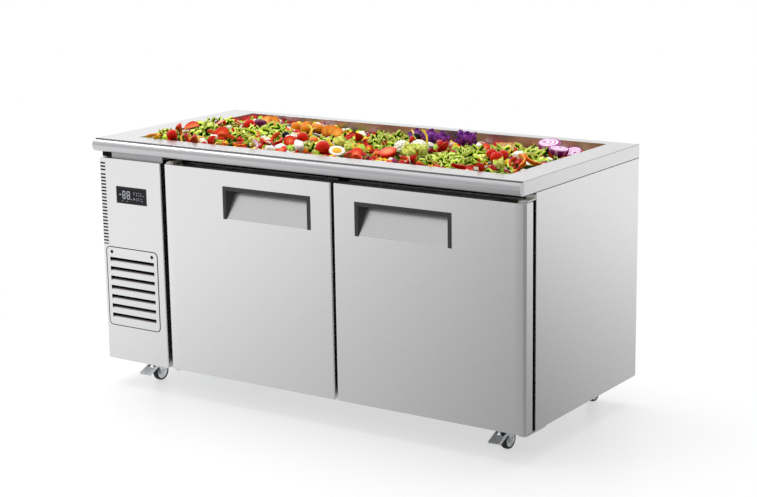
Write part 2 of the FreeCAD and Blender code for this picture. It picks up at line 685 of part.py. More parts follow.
def handle_wedge(side_room, top_room):
    """The pocket's space: deepest at its top, running out to the face at its bottom, with drafted sides."""
    slope = HANDLE_DEPTH / (HANDLE_SLOPE_TOP - HANDLE.z0)
    high = HANDLE_SLOPE_TOP + top_room
    x0 = HANDLE_OPENING.x0 - side_room
    x1 = HANDLE_OPENING.x1 + side_room
    deep = HANDLE.y0 + slope * (high - HANDLE.z0)
    side = [Vector(x0, HANDLE.y0, HANDLE.z0), Vector(x0, HANDLE.y0, high), Vector(x0, deep, high)]
    wedge = prism(side, Vector(x1 - x0, 0, 0))
    plan = [Vector(x0, HANDLE.y0, HANDLE.z0), Vector(x1, HANDLE.y0, HANDLE.z0),
            Vector(x1 - HANDLE_DRAFT, HANDLE.y1, HANDLE.z0), Vector(x0 + HANDLE_DRAFT, HANDLE.y1, HANDLE.z0)]
    return wedge.common(prism(plan, Vector(0, 0, HANDLE_HEIGHT)))


def handle_trim():
    """Inverted-U surround with drafted pocket walls; the pocket's sloping back is part of the door's skin."""
    bars = Box(HANDLE.x0, HANDLE.x1, HANDLE.y0 - HANDLE_PROUD, HANDLE.y0, HANDLE.z0, HANDLE.z1)
    inside = HANDLE_OPENING._replace(y0=bars.y0 - HANDLE_PROUD, y1=HANDLE.y0 + HANDLE_PROUD,
                                     z0=HANDLE.z0 - HANDLE_PROUD)
    walls = handle_wedge(HANDLE_WALL, HANDLE_WALL).cut(handle_wedge(0.0, 0.0))
    return joined(solid(bars).cut(solid(inside)), walls)


def handle_cutout():
    edge = HANDLE_BAR - HANDLE_HIDDEN_EDGE
    return Box(HANDLE.x0 + edge, HANDLE.x1 - edge, HANDLE.y0 - SHEET, HANDLE.y0 + 2 * SHEET,
               HANDLE.z0, HANDLE.z1 - edge)


def handle_plate():
    """Sloping back of the pocket, bent in from the door's face along the pocket's lower edge."""
    cut = handle_cutout()
    rise = HANDLE_SLOPE_TOP + HANDLE_WALL - HANDLE.z0
    slope = HANDLE_DEPTH / (HANDLE_SLOPE_TOP - HANDLE.z0)
    across = SHEET / math.cos(math.atan(slope))
    side = [Vector(cut.x0, HANDLE.y0, HANDLE.z0), Vector(cut.x0, HANDLE.y0 + slope * rise, HANDLE.z0 + rise),
            Vector(cut.x0, HANDLE.y0 + slope * rise + across, HANDLE.z0 + rise),
            Vector(cut.x0, HANDLE.y0 + across, HANDLE.z0)]
    plate = prism(side, Vector(cut.x1 - cut.x0, 0, 0))
    hem = solid(Box(cut.x0, cut.x1, HANDLE.y0, HANDLE.y0 + across, HANDLE.z0 - SHEET, HANDLE.z0))
    return joined(plate, hem)


def bush_block(half, edge, inward, length):
    """Square block on the hinge line, from the door's edge inwards."""
    z0, z1 = sorted((edge, edge + inward * length))
    return solid(Box(HINGE_X - half, HINGE_X + half, HINGE_Y - half, HINGE_Y + half, z0, z1))


def bush_holes():
    half = BUSH_HALF + BUSH_CLEARANCE
    return [bush_block(half, DOOR.z0 - SHEET, 1.0, SHEET + BUSH_LENGTH),
            bush_block(half, DOOR.z1 + SHEET, -1.0, SHEET + BUSH_LENGTH)]


def door_skin():
    skin = door_block(0.0, DOOR.y1).cut(door_block(SHEET, DOOR.y1 + SHEET))
    skin = skin.cut([solid(handle_cutout())] + bush_holes())
    return joined(skin, handle_plate())


def door_inner():
    """Foamed core with the inner panel and its raised plug, recessed behind the handle's pocket."""
    plug = Box(DOOR.x0 + PLUG_INSET, DOOR.x1 - PLUG_INSET, DOOR.y1, DOOR.y1 + PLUG_DEPTH,
               DOOR.z0 + PLUG_INSET, DOOR.z1 - PLUG_INSET)
    body = joined(door_block(SHEET, DOOR.y1), rounded(plug, "y", PLUG_RADIUS))
    pocket = grown(handle_cutout(), HANDLE_WALL, 0.0, HANDLE_WALL)
    pocket = pocket._replace(y1=HANDLE.y1 + 2 * SHEET)
    return body.cut([solid(pocket)] + bush_holes())


def door_gasket():
    outer = Box(DOOR.x0 + GASKET_INSET, DOOR.x1 - GASKET_INSET, DOOR.y1, DOOR.y1 + GASKET_THICKNESS,
                DOOR.z0 + GASKET_INSET, DOOR.z1 - GASKET_INSET)
    inner = grown(outer, -GASKET_WIDTH, SHEET, -GASKET_WIDTH)
    return rounded(outer, "y", GASKET_RADIUS).cut(solid(inner))


def door_bushes():
    """Square flanged bushes in the top and bottom of the door, bored on the hinge line."""
    bore = rod(PIN_RADIUS + PIN_CLEARANCE, Vector(HINGE_X, HINGE_Y, BASE_Z),
               Vector(HINGE_X, HINGE_Y, UNDER_TOP))
    bushes = []
    for edge, inward in ((DOOR.z0, 1.0), (DOOR.z1, -1.0)):
        sleeve = bush_block(BUSH_HALF, edge, inward, BUSH_LENGTH)
        flange = bush_block(BUSH_FLANGE_HALF, edge, -inward, BUSH_FLANGE)
        bushes.append(joined(sleeve, flange).cut(bore))
    return bushes


UPPER_BRACKET_Z = DOOR_Z1 + BUSH_FLANGE + BRACKET_GAP


def bracket_plate(z0, back):
    """Flat bracket round the hinge line, with a chamfered nose."""
    x0 = HINGE_X - BRACKET_WIDTH / 2
    x1 = HINGE_X + BRACKET_WIDTH / 2
    nose = HINGE_Y - BRACKET_WIDTH / 2
    plan = ((x0, back), (x0, nose + BRACKET_CHAMFER), (x0 + BRACKET_CHAMFER, nose),
            (x1 - BRACKET_CHAMFER, nose), (x1, nose + BRACKET_CHAMFER), (x1, back))
    plate = prism([Vector(x, y, z0) for x, y in plan], Vector(0, 0, BRACKET_THICKNESS))
    hole = rod(PIN_RADIUS + PIN_CLEARANCE, Vector(HINGE_X, HINGE_Y, z0 - SHEET),
               Vector(HINGE_X, HINGE_Y, z0 + BRACKET_THICKNESS + SHEET))
    return plate.cut(hole)


def hinge_brackets():
    """The upper bracket stands against the frame; the lower one reaches back under the base."""
    half = BRACKET_WIDTH / 2
    leg = solid(Box(HINGE_X - half, HINGE_X + half, CARCASS_FRONT - BRACKET_THICKNESS, CARCASS_FRONT,
                    UPPER_BRACKET_Z, UPPER_BRACKET_Z + BRACKET_LEG))
    upper = joined(bracket_plate(UPPER_BRACKET_Z, CARCASS_FRONT), leg)
    lower = bracket_plate(BASE_Z - BRACKET_THICKNESS, CARCASS_FRONT + BRACKET_FOOT)
    return [upper, lower]


def hinge_pins():
    top = Vector(HINGE_X, HINGE_Y, UPPER_BRACKET_Z + BRACKET_THICKNESS)
    upper = joined(rod(PIN_RADIUS, Vector(HINGE_X, HINGE_Y, DOOR_Z1 - PIN_REACH), top),
                   hex_bar(PIN_HEAD_RADIUS, top, top + Vector(0, 0, PIN_HEAD)))
    bottom = Vector(HINGE_X, HINGE_Y, BASE_Z - BRACKET_THICKNESS)
    lower = joined(rod(PIN_RADIUS, bottom, Vector(HINGE_X, HINGE_Y, DOOR_Z0 + PIN_REACH)),
                   hex_bar(PIN_HEAD_RADIUS, bottom - Vector(0, 0, PIN_HEAD), bottom))
    return [upper, lower]


# Service panel at the left of the front
def panel_slots():
    """Column of vent slots down to the grille's level, with a wider break after the first few."""
    top = PANEL.z1 - SLOT_TOP_DROP
    room = top - SLOT_BREAK - GRILLE.z1 - SLOT_TO_GRILLE
    slot = Box(LEFT + SLOT_LEFT, LEFT + SLOT_LEFT + SLOT_WIDTH, PANEL.y0 - SHEET, PANEL.y0 + 2 * SHEET,
               top - SLOT_HEIGHT, top)
    slots = []
    for i in range(1 + int((room - SLOT_HEIGHT) / SLOT_PITCH)):
        drop = i * SLOT_PITCH + (SLOT_BREAK if i >= SLOT_BREAK_AFTER else 0.0)
        slots.append(solid(slot._replace(z0=slot.z0 - drop, z1=slot.z1 - drop)))
    return slots


def service_panel():
    body = prism(face_corners(PANEL, "z"), Vector(0, 0, PANEL.z1 - PANEL.z0), [PANEL_BEND, PANEL_BEND, 0, 0])
    inside = grown(PANEL, -SHEET, -SHEET, -SHEET)._replace(y1=PANEL.y1 + SHEET)
    window = grown(DISPLAY, DISPLAY_CLEARANCE, SHEET, DISPLAY_CLEARANCE)
    mouth = grown(GRILLE, GRILLE_GAP, SHEET, GRILLE_GAP)
    cuts = [solid(inside), rounded(window, "y", DISPLAY_RADIUS)]
    cuts.append(rounded(mouth, "y", GRILLE_RADIUS + GRILLE_GAP))
    return body.cut(cuts + panel_slots())


def display_window():
    return rounded(DISPLAY, "y", DISPLAY_RADIUS)


def controller_housing():
    lip = grown(DISPLAY, CONTROLLER_LIP, 0.0, CONTROLLER_LIP)
    lip = lip._replace(y0=PANEL_BACK_FACE, y1=PANEL_BACK_FACE + CONTROLLER_LIP_THICKNESS)
    case = grown(DISPLAY, -CONTROLLER_INSET, 0.0, -CONTROLLER_INSET)
    case = case._replace(y0=PANEL_BACK_FACE, y1=PANEL_BACK_FACE + CONTROLLER_DEPTH)
    return joined(solid(lip), solid(case))


def fascia_strip():
    strip = Box(LEFT + FASCIA_INSET_LEFT, PANEL_RIGHT, DOOR_FRONT + FASCIA_SETBACK, CARCASS_FRONT,
                PANEL.z1, UNDER_TOP)
    return tray(strip, SHEET, ("y1",))


def screw_places():
    z = GRILLE.z1 - SCREW_DROP
    return [Vector(GRILLE.x0 + SCREW_SIDE, GRILLE.y0, z), Vector(GRILLE.x1 - SCREW_SIDE, GRILLE.y0, z)]


def louvre_grille():
    """Round-cornered grille: each sloping blade is bent in from its window's lower edge between two cheeks."""
    front = rounded(GRILLE, "y", GRILLE_RADIUS)
    lip = grown(GRILLE, GRILLE_LIP, 0.0, GRILLE_LIP)._replace(y0=PANEL_BACK_FACE, y1=PANEL_BACK_FACE + SHEET)
    middle = (GRILLE.x0 + GRILLE.x1) / 2
    x0 = middle - LOUVRE_WIDTH / 2
    x1 = middle + LOUVRE_WIDTH / 2
    y0 = GRILLE.y0
    deep = y0 + LOUVRE_DEPTH
    scoops = []
    windows = []
    for i in range(LOUVRE_COUNT):
        high = GRILLE.z1 - LOUVRE_TOP_DROP - i * LOUVRE_PITCH
        low = high - LOUVRE_HEIGHT
        scoop = ((y0, low - SHEET), (y0 + SHEET, low - SHEET), (deep, high - SHEET), (deep, high), (y0, high))
        space = ((y0 - SHEET, low), (y0, low), (deep, high), (y0 - SHEET, high))
        wide = Vector(x1 - x0 + 2 * LOUVRE_CHEEK, 0, 0)
        scoops.append(prism([Vector(x0 - LOUVRE_CHEEK, y, z) for y, z in scoop], wide))
        windows.append(prism([Vector(x0, y, z) for y, z in space], Vector(x1 - x0, 0, 0)))
    holes = [rod(SCREW_RADIUS + SCREW_CLEARANCE, at - Vector(0, SHEET, 0), at + Vector(0, SCREW_LENGTH, 0))
             for at in screw_places()]
    return joined(front, solid(lip), *scoops).cut(windows + holes)


def grille_screws():
    screws = []
    for at in screw_places():
        head = rod(SCREW_HEAD_RADIUS, at - Vector(0, SCREW_HEAD, 0), at)
        screws.append(joined(head, rod(SCREW_RADIUS, at, at + Vector(0, SCREW_LENGTH, 0))))
    return screws


# Condensing unit in the machine compartment
UNIT = Box(LEFT + SHEET + TRAY_INSET, PANEL_RIGHT - TRAY_INSET, CARCASS_FRONT + TRAY_INSET,
           INSIDE_BACK - TRAY_INSET, FLOOR_TOP, FLOOR_TOP + TRAY_HEIGHT)
UNIT_FLOOR = FLOOR_TOP + SHEET
COIL = Box(UNIT.x0 + COIL_SIDE_GAP, UNIT.x1 - COIL_SIDE_GAP, UNIT.y0 + COIL_FRONT_GAP,
           UNIT.y0 + COIL_FRONT_GAP + COIL_DEPTH, UNIT_FLOOR, UNIT_FLOOR + COIL_HEIGHT)
FAN_X = (COIL.x0 + COIL.x1) / 2
FAN_Z = (COIL.z0 + COIL.z1) / 2
SHROUD_FRONT = COIL.y1 + COIL_PLATE_MARGIN
FAN_FRONT = SHROUD_FRONT + SHEET + FAN_GAP
MOTOR_FRONT = FAN_FRONT + FAN_HUB_LENGTH + MOTOR_GAP
COMPRESSOR_Y = MOTOR_FRONT + MOTOR_LENGTH + COMPRESSOR_BEHIND
COMPRESSOR_Z = UNIT_FLOOR + COMPRESSOR_FOOT + COMPRESSOR_PLATE


def unit_tray():
    return tray(UNIT, SHEET, ("z1",))


def half_ring(at, start, axis, radius, side):
    """Return bend: a square section swung half a turn about the axis, from the start direction."""
    out = start * (side / 2)
    up = axis * (side / 2)
    centre = at + start * radius
    corners = [centre - out - up, centre + out - up, centre + out + up, centre - out + up]
    return Part.Face(outline(corners, 0.0)).revolve(at, axis, 180)


def condenser_coil():
    """Fin block between two end plates, with the tubes' return bends outside them."""
    block = solid(grown(COIL, -COIL_PLATE, 0.0, -COIL_PLATE_MARGIN))
    plates = []
    bends = []
    middle = (COIL.y0 + COIL.y1) / 2
    plate = grown(COIL, 0.0, COIL_PLATE_MARGIN)
    for x, face, outward in ((COIL.x0, COIL.x0, -1.0), (COIL.x1 - COIL_PLATE, COIL.x1, 1.0)):
        plates.append(solid(plate._replace(x0=x, x1=x + COIL_PLATE)))
        for i in range(COIL_BENDS):
            z = COIL.z0 + (4 * i + 2 + outward / 2) * COIL_TUBE_PITCH
            bends.append(half_ring(Vector(face, middle, z), Vector(0, 0, 1), Vector(0, outward, 0),
                                   COIL_TUBE_PITCH / 2, COIL_TUBE))
    return joined(block, *plates, *bends)


def fan_shroud():
    plate = solid(Box(COIL.x0, COIL.x1, SHROUD_FRONT, SHROUD_FRONT + SHEET, COIL.z0, COIL.z1))
    at = Vector(FAN_X, SHROUD_FRONT, FAN_Z)
    return plate.cut(rod(FAN_HOLE_RADIUS, at - Vector(0, SHEET, 0), at + Vector(0, 2 * SHEET, 0)))


def fan_blades(radius, hub_radius, hub_length, chords, bore_radius, bore_depth):
    """Axial fan about Z, hub from 0 up: pitched blades that widen outwards, and a shaft hole from above."""
    root, tip = (chord / 2 for chord in chords)
    near = hub_radius / 2
    far = math.sqrt(radius ** 2 - tip ** 2)
    corners = [Vector(near, -root, 0), Vector(far, -tip, 0), Vector(far, tip, 0), Vector(near, root, 0)]
    blade = prism(corners, Vector(0, 0, SHEET))
    blade.rotate(Vector(0, 0, 0), Vector(1, 0, 0), FAN_PITCH)
    blade.translate(Vector(0, 0, hub_length / 2))
    blades = []
    for i in range(FAN_BLADES):
        turned = blade.copy()
        turned.rotate(Vector(0, 0, 0), Vector(0, 0, 1), 360.0 * i / FAN_BLADES)
        blades.append(turned)
    hub = rod(hub_radius, Vector(0, 0, 0), Vector(0, 0, hub_length))
    hole = rod(bore_radius, Vector(0, 0, hub_length - bore_depth), Vector(0, 0, hub_length + SHEET))
    return joined(hub, *blades).cut(hole)


def condenser_fan_blade():
    fan = fan_blades(FAN_RADIUS, FAN_HUB_RADIUS, FAN_HUB_LENGTH, (FAN_ROOT_CHORD, FAN_TIP_CHORD),
                     SHAFT_RADIUS + SHAFT_CLEARANCE, SHAFT_SEAT)
    fan.rotate(Vector(0, 0, 0), Vector(1, 0, 0), -90.0)
    return fan.translate(Vector(FAN_X, FAN_FRONT, FAN_Z))


def condenser_fan_motor():
    """Motor on a folded stand, with its shaft forward into the fan's hub."""
    front = Vector(FAN_X, MOTOR_FRONT, FAN_Z)
    can = rod(MOTOR_RADIUS, front, front + Vector(0, MOTOR_LENGTH, 0))
    shaft = rod(SHAFT_RADIUS, front - Vector(0, MOTOR_GAP + SHAFT_SEAT - MOTOR_STAND, 0), front)
    half = MOTOR_STAND_WIDTH / 2
    middle = MOTOR_FRONT + MOTOR_LENGTH / 2
    foot = Box(FAN_X - half, FAN_X + half, middle - half, middle + half, UNIT_FLOOR, UNIT_FLOOR + MOTOR_STAND)
    post = foot._replace(y0=middle - MOTOR_STAND / 2, y1=middle + MOTOR_STAND / 2, z1=FAN_Z)
    return joined(can, shaft, solid(post), solid(foot))


def compressor_stubs():
    """Where the discharge and suction stubs leave the shell: their outer ends."""
    reach = COMPRESSOR_RADIUS + STUB_LENGTH
    high = COMPRESSOR_Z + DISCHARGE_HEIGHT
    low = COMPRESSOR_Z + SUCTION_HEIGHT
    return Vector(FAN_X, COMPRESSOR_Y - reach, high), Vector(FAN_X, COMPRESSOR_Y + reach, low)


def compressor():
    """Hermetic can with sloping shoulders on a foot plate with four feet, and two pipe stubs."""
    wide = COMPRESSOR_RADIUS
    top = COMPRESSOR_HEIGHT
    profile = ((0, 0), (wide - COMPRESSOR_LOW_SHOULDER, 0), (wide, COMPRESSOR_LOW_SHOULDER),
               (wide, top - COMPRESSOR_HIGH_SHOULDER), (wide - COMPRESSOR_HIGH_SHOULDER, top), (0, top))
    face = Part.Face(outline([Vector(x, 0, z) for x, z in profile], 0.0))
    can = face.revolve(Vector(0, 0, 0), Vector(0, 0, 1), 360)
    can.translate(Vector(FAN_X, COMPRESSOR_Y, COMPRESSOR_Z))
    half_x = COMPRESSOR_PLATE_WIDTH / 2
    half_y = COMPRESSOR_PLATE_LENGTH / 2
    plate = Box(FAN_X - half_x, FAN_X + half_x, COMPRESSOR_Y - half_y, COMPRESSOR_Y + half_y,
                COMPRESSOR_Z - COMPRESSOR_PLATE, COMPRESSOR_Z)
    half = COMPRESSOR_FOOT_HALF
    feet = []
    for x in (plate.x0 + half, plate.x1 - half):
        for y in (plate.y0 + half, plate.y1 - half):
            feet.append(solid(Box(x - half, x + half, y - half, y + half, UNIT_FLOOR, plate.z0)))
    stubs = [rod(STUB_RADIUS, Vector(FAN_X, COMPRESSOR_Y, end.z), end) for end in compressor_stubs()]
    return joined(can, solid(plate), *feet, *stubs)


def pipe_section(at, along):
    """Eight-sided section of the pipe across its run."""
    turns = [math.radians(45 * i + 22.5) for i in range(8)]
    ring = outline([Vector(math.cos(turn), math.sin(turn), 0) * PIPE_RADIUS for turn in turns], 0.0)
    ring.Placement = FreeCAD.Placement(at, FreeCAD.Rotation(Vector(0, 0, 1), along))
    return Part.Face(ring)


def tube(points):
    """Bent pipe: straight runs joined by square-set bends."""
    runs = []
    start = points[0]
    for before, corner, after in zip(points, points[1:], points[2:]):
        back = (before - corner).normalize()
        ahead = (after - corner).normalize()
        bend_start = corner + back * PIPE_BEND
        centre = bend_start + ahead * PIPE_BEND
        runs.append(pipe_section(start, back).extrude(bend_start - start))
        runs.append(pipe_section(bend_start, back).revolve(centre, ahead.cross(back), 90))
        start = corner + ahead * PIPE_BEND
    runs.append(pipe_section(start, points[-1] - start).extrude(points[-1] - start))
    return joined(*runs)


def refrigerant_pipes():
    """Discharge pipe to the condenser, liquid pipe with its drier, and suction pipe from the cold side."""
    discharge, suction = compressor_stubs()
    coil_y = (COIL.y0 + COIL.y1) / 2
    coil_top = COIL.z1 - COIL_PLATE_MARGIN
    hot_z = coil_top + HOT_PIPE_ABOVE_COIL
    hot_y = discharge.y - PIPE_STANDOFF
    hot = tube([discharge, Vector(FAN_X, hot_y, discharge.z), Vector(FAN_X, hot_y, hot_z),
                Vector(FAN_X, coil_y, hot_z), Vector(FAN_X, coil_y, coil_top)])
    cold_y = suction.y + PIPE_STANDOFF
    cold_z = suction.z + SUCTION_PIPE_RISE
    cold = tube([suction, Vector(FAN_X, cold_y, suction.z), Vector(FAN_X, cold_y, cold_z),
                 Vector(PANEL_RIGHT, cold_y, cold_z)])
    liquid_x = (FAN_X + COIL.x1) / 2
    liquid_y = coil_y + LIQUID_PIPE_RUN
    liquid_z = coil_top + LIQUID_PIPE_ABOVE_COIL
    liquid = tube([Vector(liquid_x, coil_y, coil_top), Vector(liquid_x, coil_y, liquid_z),
                   Vector(liquid_x, liquid_y, liquid_z), Vector(PANEL_RIGHT, liquid_y, liquid_z)])
    drier_start = Vector(liquid_x, coil_y + DRIER_FROM_BEND, liquid_z)
    drier = rod(DRIER_RADIUS, drier_start, drier_start + Vector(0, DRIER_LENGTH, 0))
    return [hot, cold, joined(liquid, drier)]


def gland_centre():
    return Vector(LEFT + GLAND_FROM_SIDE, INSIDE_BACK, BASE_Z + GLAND_HEIGHT)


def cable_gland():
    """Cone-nosed gland through the back panel, with a hexagon nut inside."""
    at = gland_centre()
    out = Vector(0, 1, 0)
    nut = hex_bar(GLAND_RADIUS, at - out * GLAND_NUT, at)
    neck = rod(GLAND_NECK_RADIUS, at, at + out * SHEET)
    nose = Part.makeCone(GLAND_RADIUS, GLAND_NOSE_RADIUS, GLAND_LENGTH, at + out * SHEET, out)
    bore = rod(GLAND_BORE_RADIUS, at - out * (GLAND_NUT + SHEET), at + out * (GLAND_LENGTH + 2 * SHEET))
    return joined(nut, neck, nose).cut(bore)


# Evaporator unit
EVAP = Box(COLD.x0, COLD.x0 + EVAP_DEPTH, COLD.y1 - EVAP_BACK_GAP - EVAP_WIDTH, COLD.y1 - EVAP_BACK_GAP,
           COLD.z1 - EVAP_TOP_GAP - EVAP_HEIGHT, COLD.z1 - EVAP_TOP_GAP)
EVAP_Y = (EVAP.y0 + EVAP.y1) / 2
EVAP_Z = (EVAP.z0 + EVAP.z1) / 2
EVAP_STRAP_X = EVAP.x0 + EVAP_COIL_DEPTH + EVAP_STRAP
EVAP_MOTOR_X = EVAP_STRAP_X + EVAP_STRAP
EVAP_HUB_X = EVAP_MOTOR_X + EVAP_MOTOR_LENGTH + EVAP_STRAP


def evaporator_housing():
    """Cover with a round fan mouth and a row of return-air slots underneath."""
    body = tray(EVAP, SHEET, ("x0",))
    mouth = rod(EVAP_HOLE_RADIUS, Vector(EVAP.x1 - 2 * SHEET, EVAP_Y, EVAP_Z),
                Vector(EVAP.x1 + SHEET, EVAP_Y, EVAP_Z))
    pitch = EVAP_WIDTH / EVAP_SLOT_COUNT
    middle = (EVAP.x0 + EVAP.x1) / 2
    slots = []
    for i in range(EVAP_SLOT_COUNT):
        y = EVAP.y0 + (i + 0.5) * pitch
        slots.append(solid(Box(middle - EVAP_SLOT_LENGTH / 2, middle + EVAP_SLOT_LENGTH / 2,
                               y - EVAP_SLOT_WIDTH / 2, y + EVAP_SLOT_WIDTH / 2,
                               EVAP.z0 - SHEET, EVAP.z0 + 2 * SHEET)))
    return body.cut([mouth] + slots)


def evaporator_coil():
    """Fin block on the wall, with a return bend at its lower corner."""
    block = grown(EVAP, 0.0, -EVAP_COIL_MARGIN, -EVAP_COIL_MARGIN)._replace(x1=EVAP.x0 + EVAP_COIL_DEPTH)
    at = Vector(EVAP.x0 + EVAP_COIL_DEPTH / 2, block.y0, block.z0 + COIL_TUBE_PITCH)
    bend = half_ring(at, Vector(0, 0, 1), Vector(1, 0, 0), COIL_TUBE_PITCH / 2, COIL_TUBE)
    return joined(solid(block), bend)


def evaporator_fan_motor():
    """Small motor on a strap between the cover's floor and roof."""
    half = EVAP_STRAP_WIDTH / 2
    strap = solid(Box(EVAP_STRAP_X, EVAP_MOTOR_X, EVAP_Y - half, EVAP_Y + half,
                      EVAP.z0 + SHEET, EVAP.z1 - SHEET))
    at = Vector(EVAP_MOTOR_X, EVAP_Y, EVAP_Z)
    out = Vector(1, 0, 0)
    can = rod(EVAP_MOTOR_RADIUS, at, at + out * EVAP_MOTOR_LENGTH)
    shaft = rod(EVAP_SHAFT_RADIUS, at, at + out * (EVAP_MOTOR_LENGTH + EVAP_STRAP + EVAP_HUB_LENGTH / 2))
    return joined(strap, can, shaft)


def evaporator_fan_blade():
    fan = fan_blades(EVAP_FAN_RADIUS, EVAP_HUB_RADIUS, EVAP_HUB_LENGTH, (EVAP_ROOT_CHORD, EVAP_TIP_CHORD),
                     EVAP_SHAFT_RADIUS + SHAFT_CLEARANCE, EVAP_HUB_LENGTH / 2 + EVAP_STRAP)
    fan.rotate(Vector(0, 0, 0), Vector(0, 1, 0), -90.0)
    return fan.translate(Vector(EVAP_HUB_X + EVAP_HUB_LENGTH, EVAP_Y, EVAP_Z))


# Shelves
SHELF_Z = EVAP.z0 - SHELF_BELOW_EVAP


def shelf_rails():
    """Angle rails on the two side walls and a channel rail from the mullion to the back wall."""
    y0 = COLD.y0 + RAIL_END_GAP
    y1 = COLD.y1 - RAIL_END_GAP
    low = SHELF_Z - RAIL_HEIGHT
    left = tray(Box(COLD.x0, COLD.x0 + RAIL_WIDTH, y0, y1, low, SHELF_Z), SHEET, ("x1", "y0", "y1", "z0"))
    right = tray(Box(COLD.x1 - RAIL_WIDTH, COLD.x1, y0, y1, low, SHELF_Z), SHEET, ("x0", "y0", "y1", "z0"))
    half = RAIL_WIDTH / 2 + SHELF_SIDE_GAP
    middle = Box(DOORS_MIDDLE - half, DOORS_MIDDLE + half, COLD.y0, COLD.y1, low, SHELF_Z)
    centre = tray(middle, SHEET, ("y0", "y1", "z0"))
    return [left, right, centre]


def wire_shelf(x0, x1):
    """Welded shelf: bars from front to back, and closer wires across them sunk a little into the bars."""
    y0 = COLD.y0 + SHELF_DEPTH_GAP
    y1 = COLD.y1 - SHELF_DEPTH_GAP
    bar_top = SHELF_Z + SHELF_ROD
    wire_low = bar_top - SHELF_SINK
    pieces = []
    for i in range(SHELF_RODS):
        x = x0 + (x1 - x0 - SHELF_ROD) * i / (SHELF_RODS - 1)
        pieces.append(solid(Box(x, x + SHELF_ROD, y0, y1, SHELF_Z, bar_top)))
    count = int((y1 - y0 - SHELF_WIRE) / SHELF_WIRE_PITCH)
    first = (y0 + y1 - SHELF_WIRE - count * SHELF_WIRE_PITCH) / 2
    for i in range(count + 1):
        y = first + i * SHELF_WIRE_PITCH
        pieces.append(solid(Box(x0, x1, y, y + SHELF_WIRE, wire_low, wire_low + SHELF_WIRE)))
    return joined(*pieces)


def wire_shelves():
    gap = SHELF_SIDE_GAP / 2
    left = wire_shelf(COLD.x0 + SHELF_SIDE_GAP, DOORS_MIDDLE - gap)
    right = wire_shelf(DOORS_MIDDLE + gap, COLD.x1 - SHELF_SIDE_GAP)
    return [left, right]


# Castors, built about the kingpin and then set in place
PLATE_BOTTOM = BASE_Z - CASTOR_PLATE_THICKNESS
RACE_BOTTOM = PLATE_BOTTOM - RACE_HEIGHT
CROWN_TOP = RACE_BOTTOM - SWIVEL_GAP
CROWN_BOTTOM = CROWN_TOP - CROWN_THICKNESS
LEG_INSIDE = WHEEL_WIDTH / 2 + WHEEL_SIDE_GAP
LEG_OUTSIDE = LEG_INSIDE + FORK_SHEET
FRONT_KINGPIN = CARCASS_FRONT + CASTOR_PLATE_EDGE + CASTOR_PLATE_Y / 2
REAR_KINGPIN = BACK - CASTOR_REAR_FROM_BACK
CASTOR_PLACES = {
    "front_left": Vector(-CASTOR_X, FRONT_KINGPIN, 0),
    "front_right": Vector(CASTOR_X, FRONT_KINGPIN, 0),
    "rear_left": Vector(-CASTOR_X, REAR_KINGPIN, 0),
    "rear_right": Vector(CASTOR_X, REAR_KINGPIN, 0),
}


def castor_plate():
    """Top plate with its ball race and the kingpin's bolt."""
    half_x = CASTOR_PLATE_X / 2
    half_y = CASTOR_PLATE_Y / 2
    plate = solid(Box(-half_x, half_x, -half_y, half_y, PLATE_BOTTOM, BASE_Z))
    race = rod(RACE_RADIUS, Vector(0, 0, RACE_BOTTOM), Vector(0, 0, PLATE_BOTTOM))
    head_top = CROWN_BOTTOM - SWIVEL_GAP
    pin = rod(KINGPIN_RADIUS, Vector(0, 0, head_top), Vector(0, 0, RACE_BOTTOM))
    head = hex_bar(KINGPIN_HEAD_RADIUS, Vector(0, 0, head_top - KINGPIN_HEAD), Vector(0, 0, head_top))
    return joined(plate, race, pin, head)


def chamfered_crown():
    """Flat crown as wide as the legs, with chamfered corners."""
    inner = CROWN_REACH - CROWN_CHAMFER
    side = LEG_OUTSIDE - CROWN_CHAMFER
    plan = ((-LEG_OUTSIDE, -inner), (-side, -CROWN_REACH), (side, -CROWN_REACH), (LEG_OUTSIDE, -inner),
            (LEG_OUTSIDE, inner), (side, CROWN_REACH), (-side, CROWN_REACH), (-LEG_OUTSIDE, inner))
    return prism([Vector(x, y, CROWN_BOTTOM) for x, y in plan], Vector(0, 0, CROWN_THICKNESS))


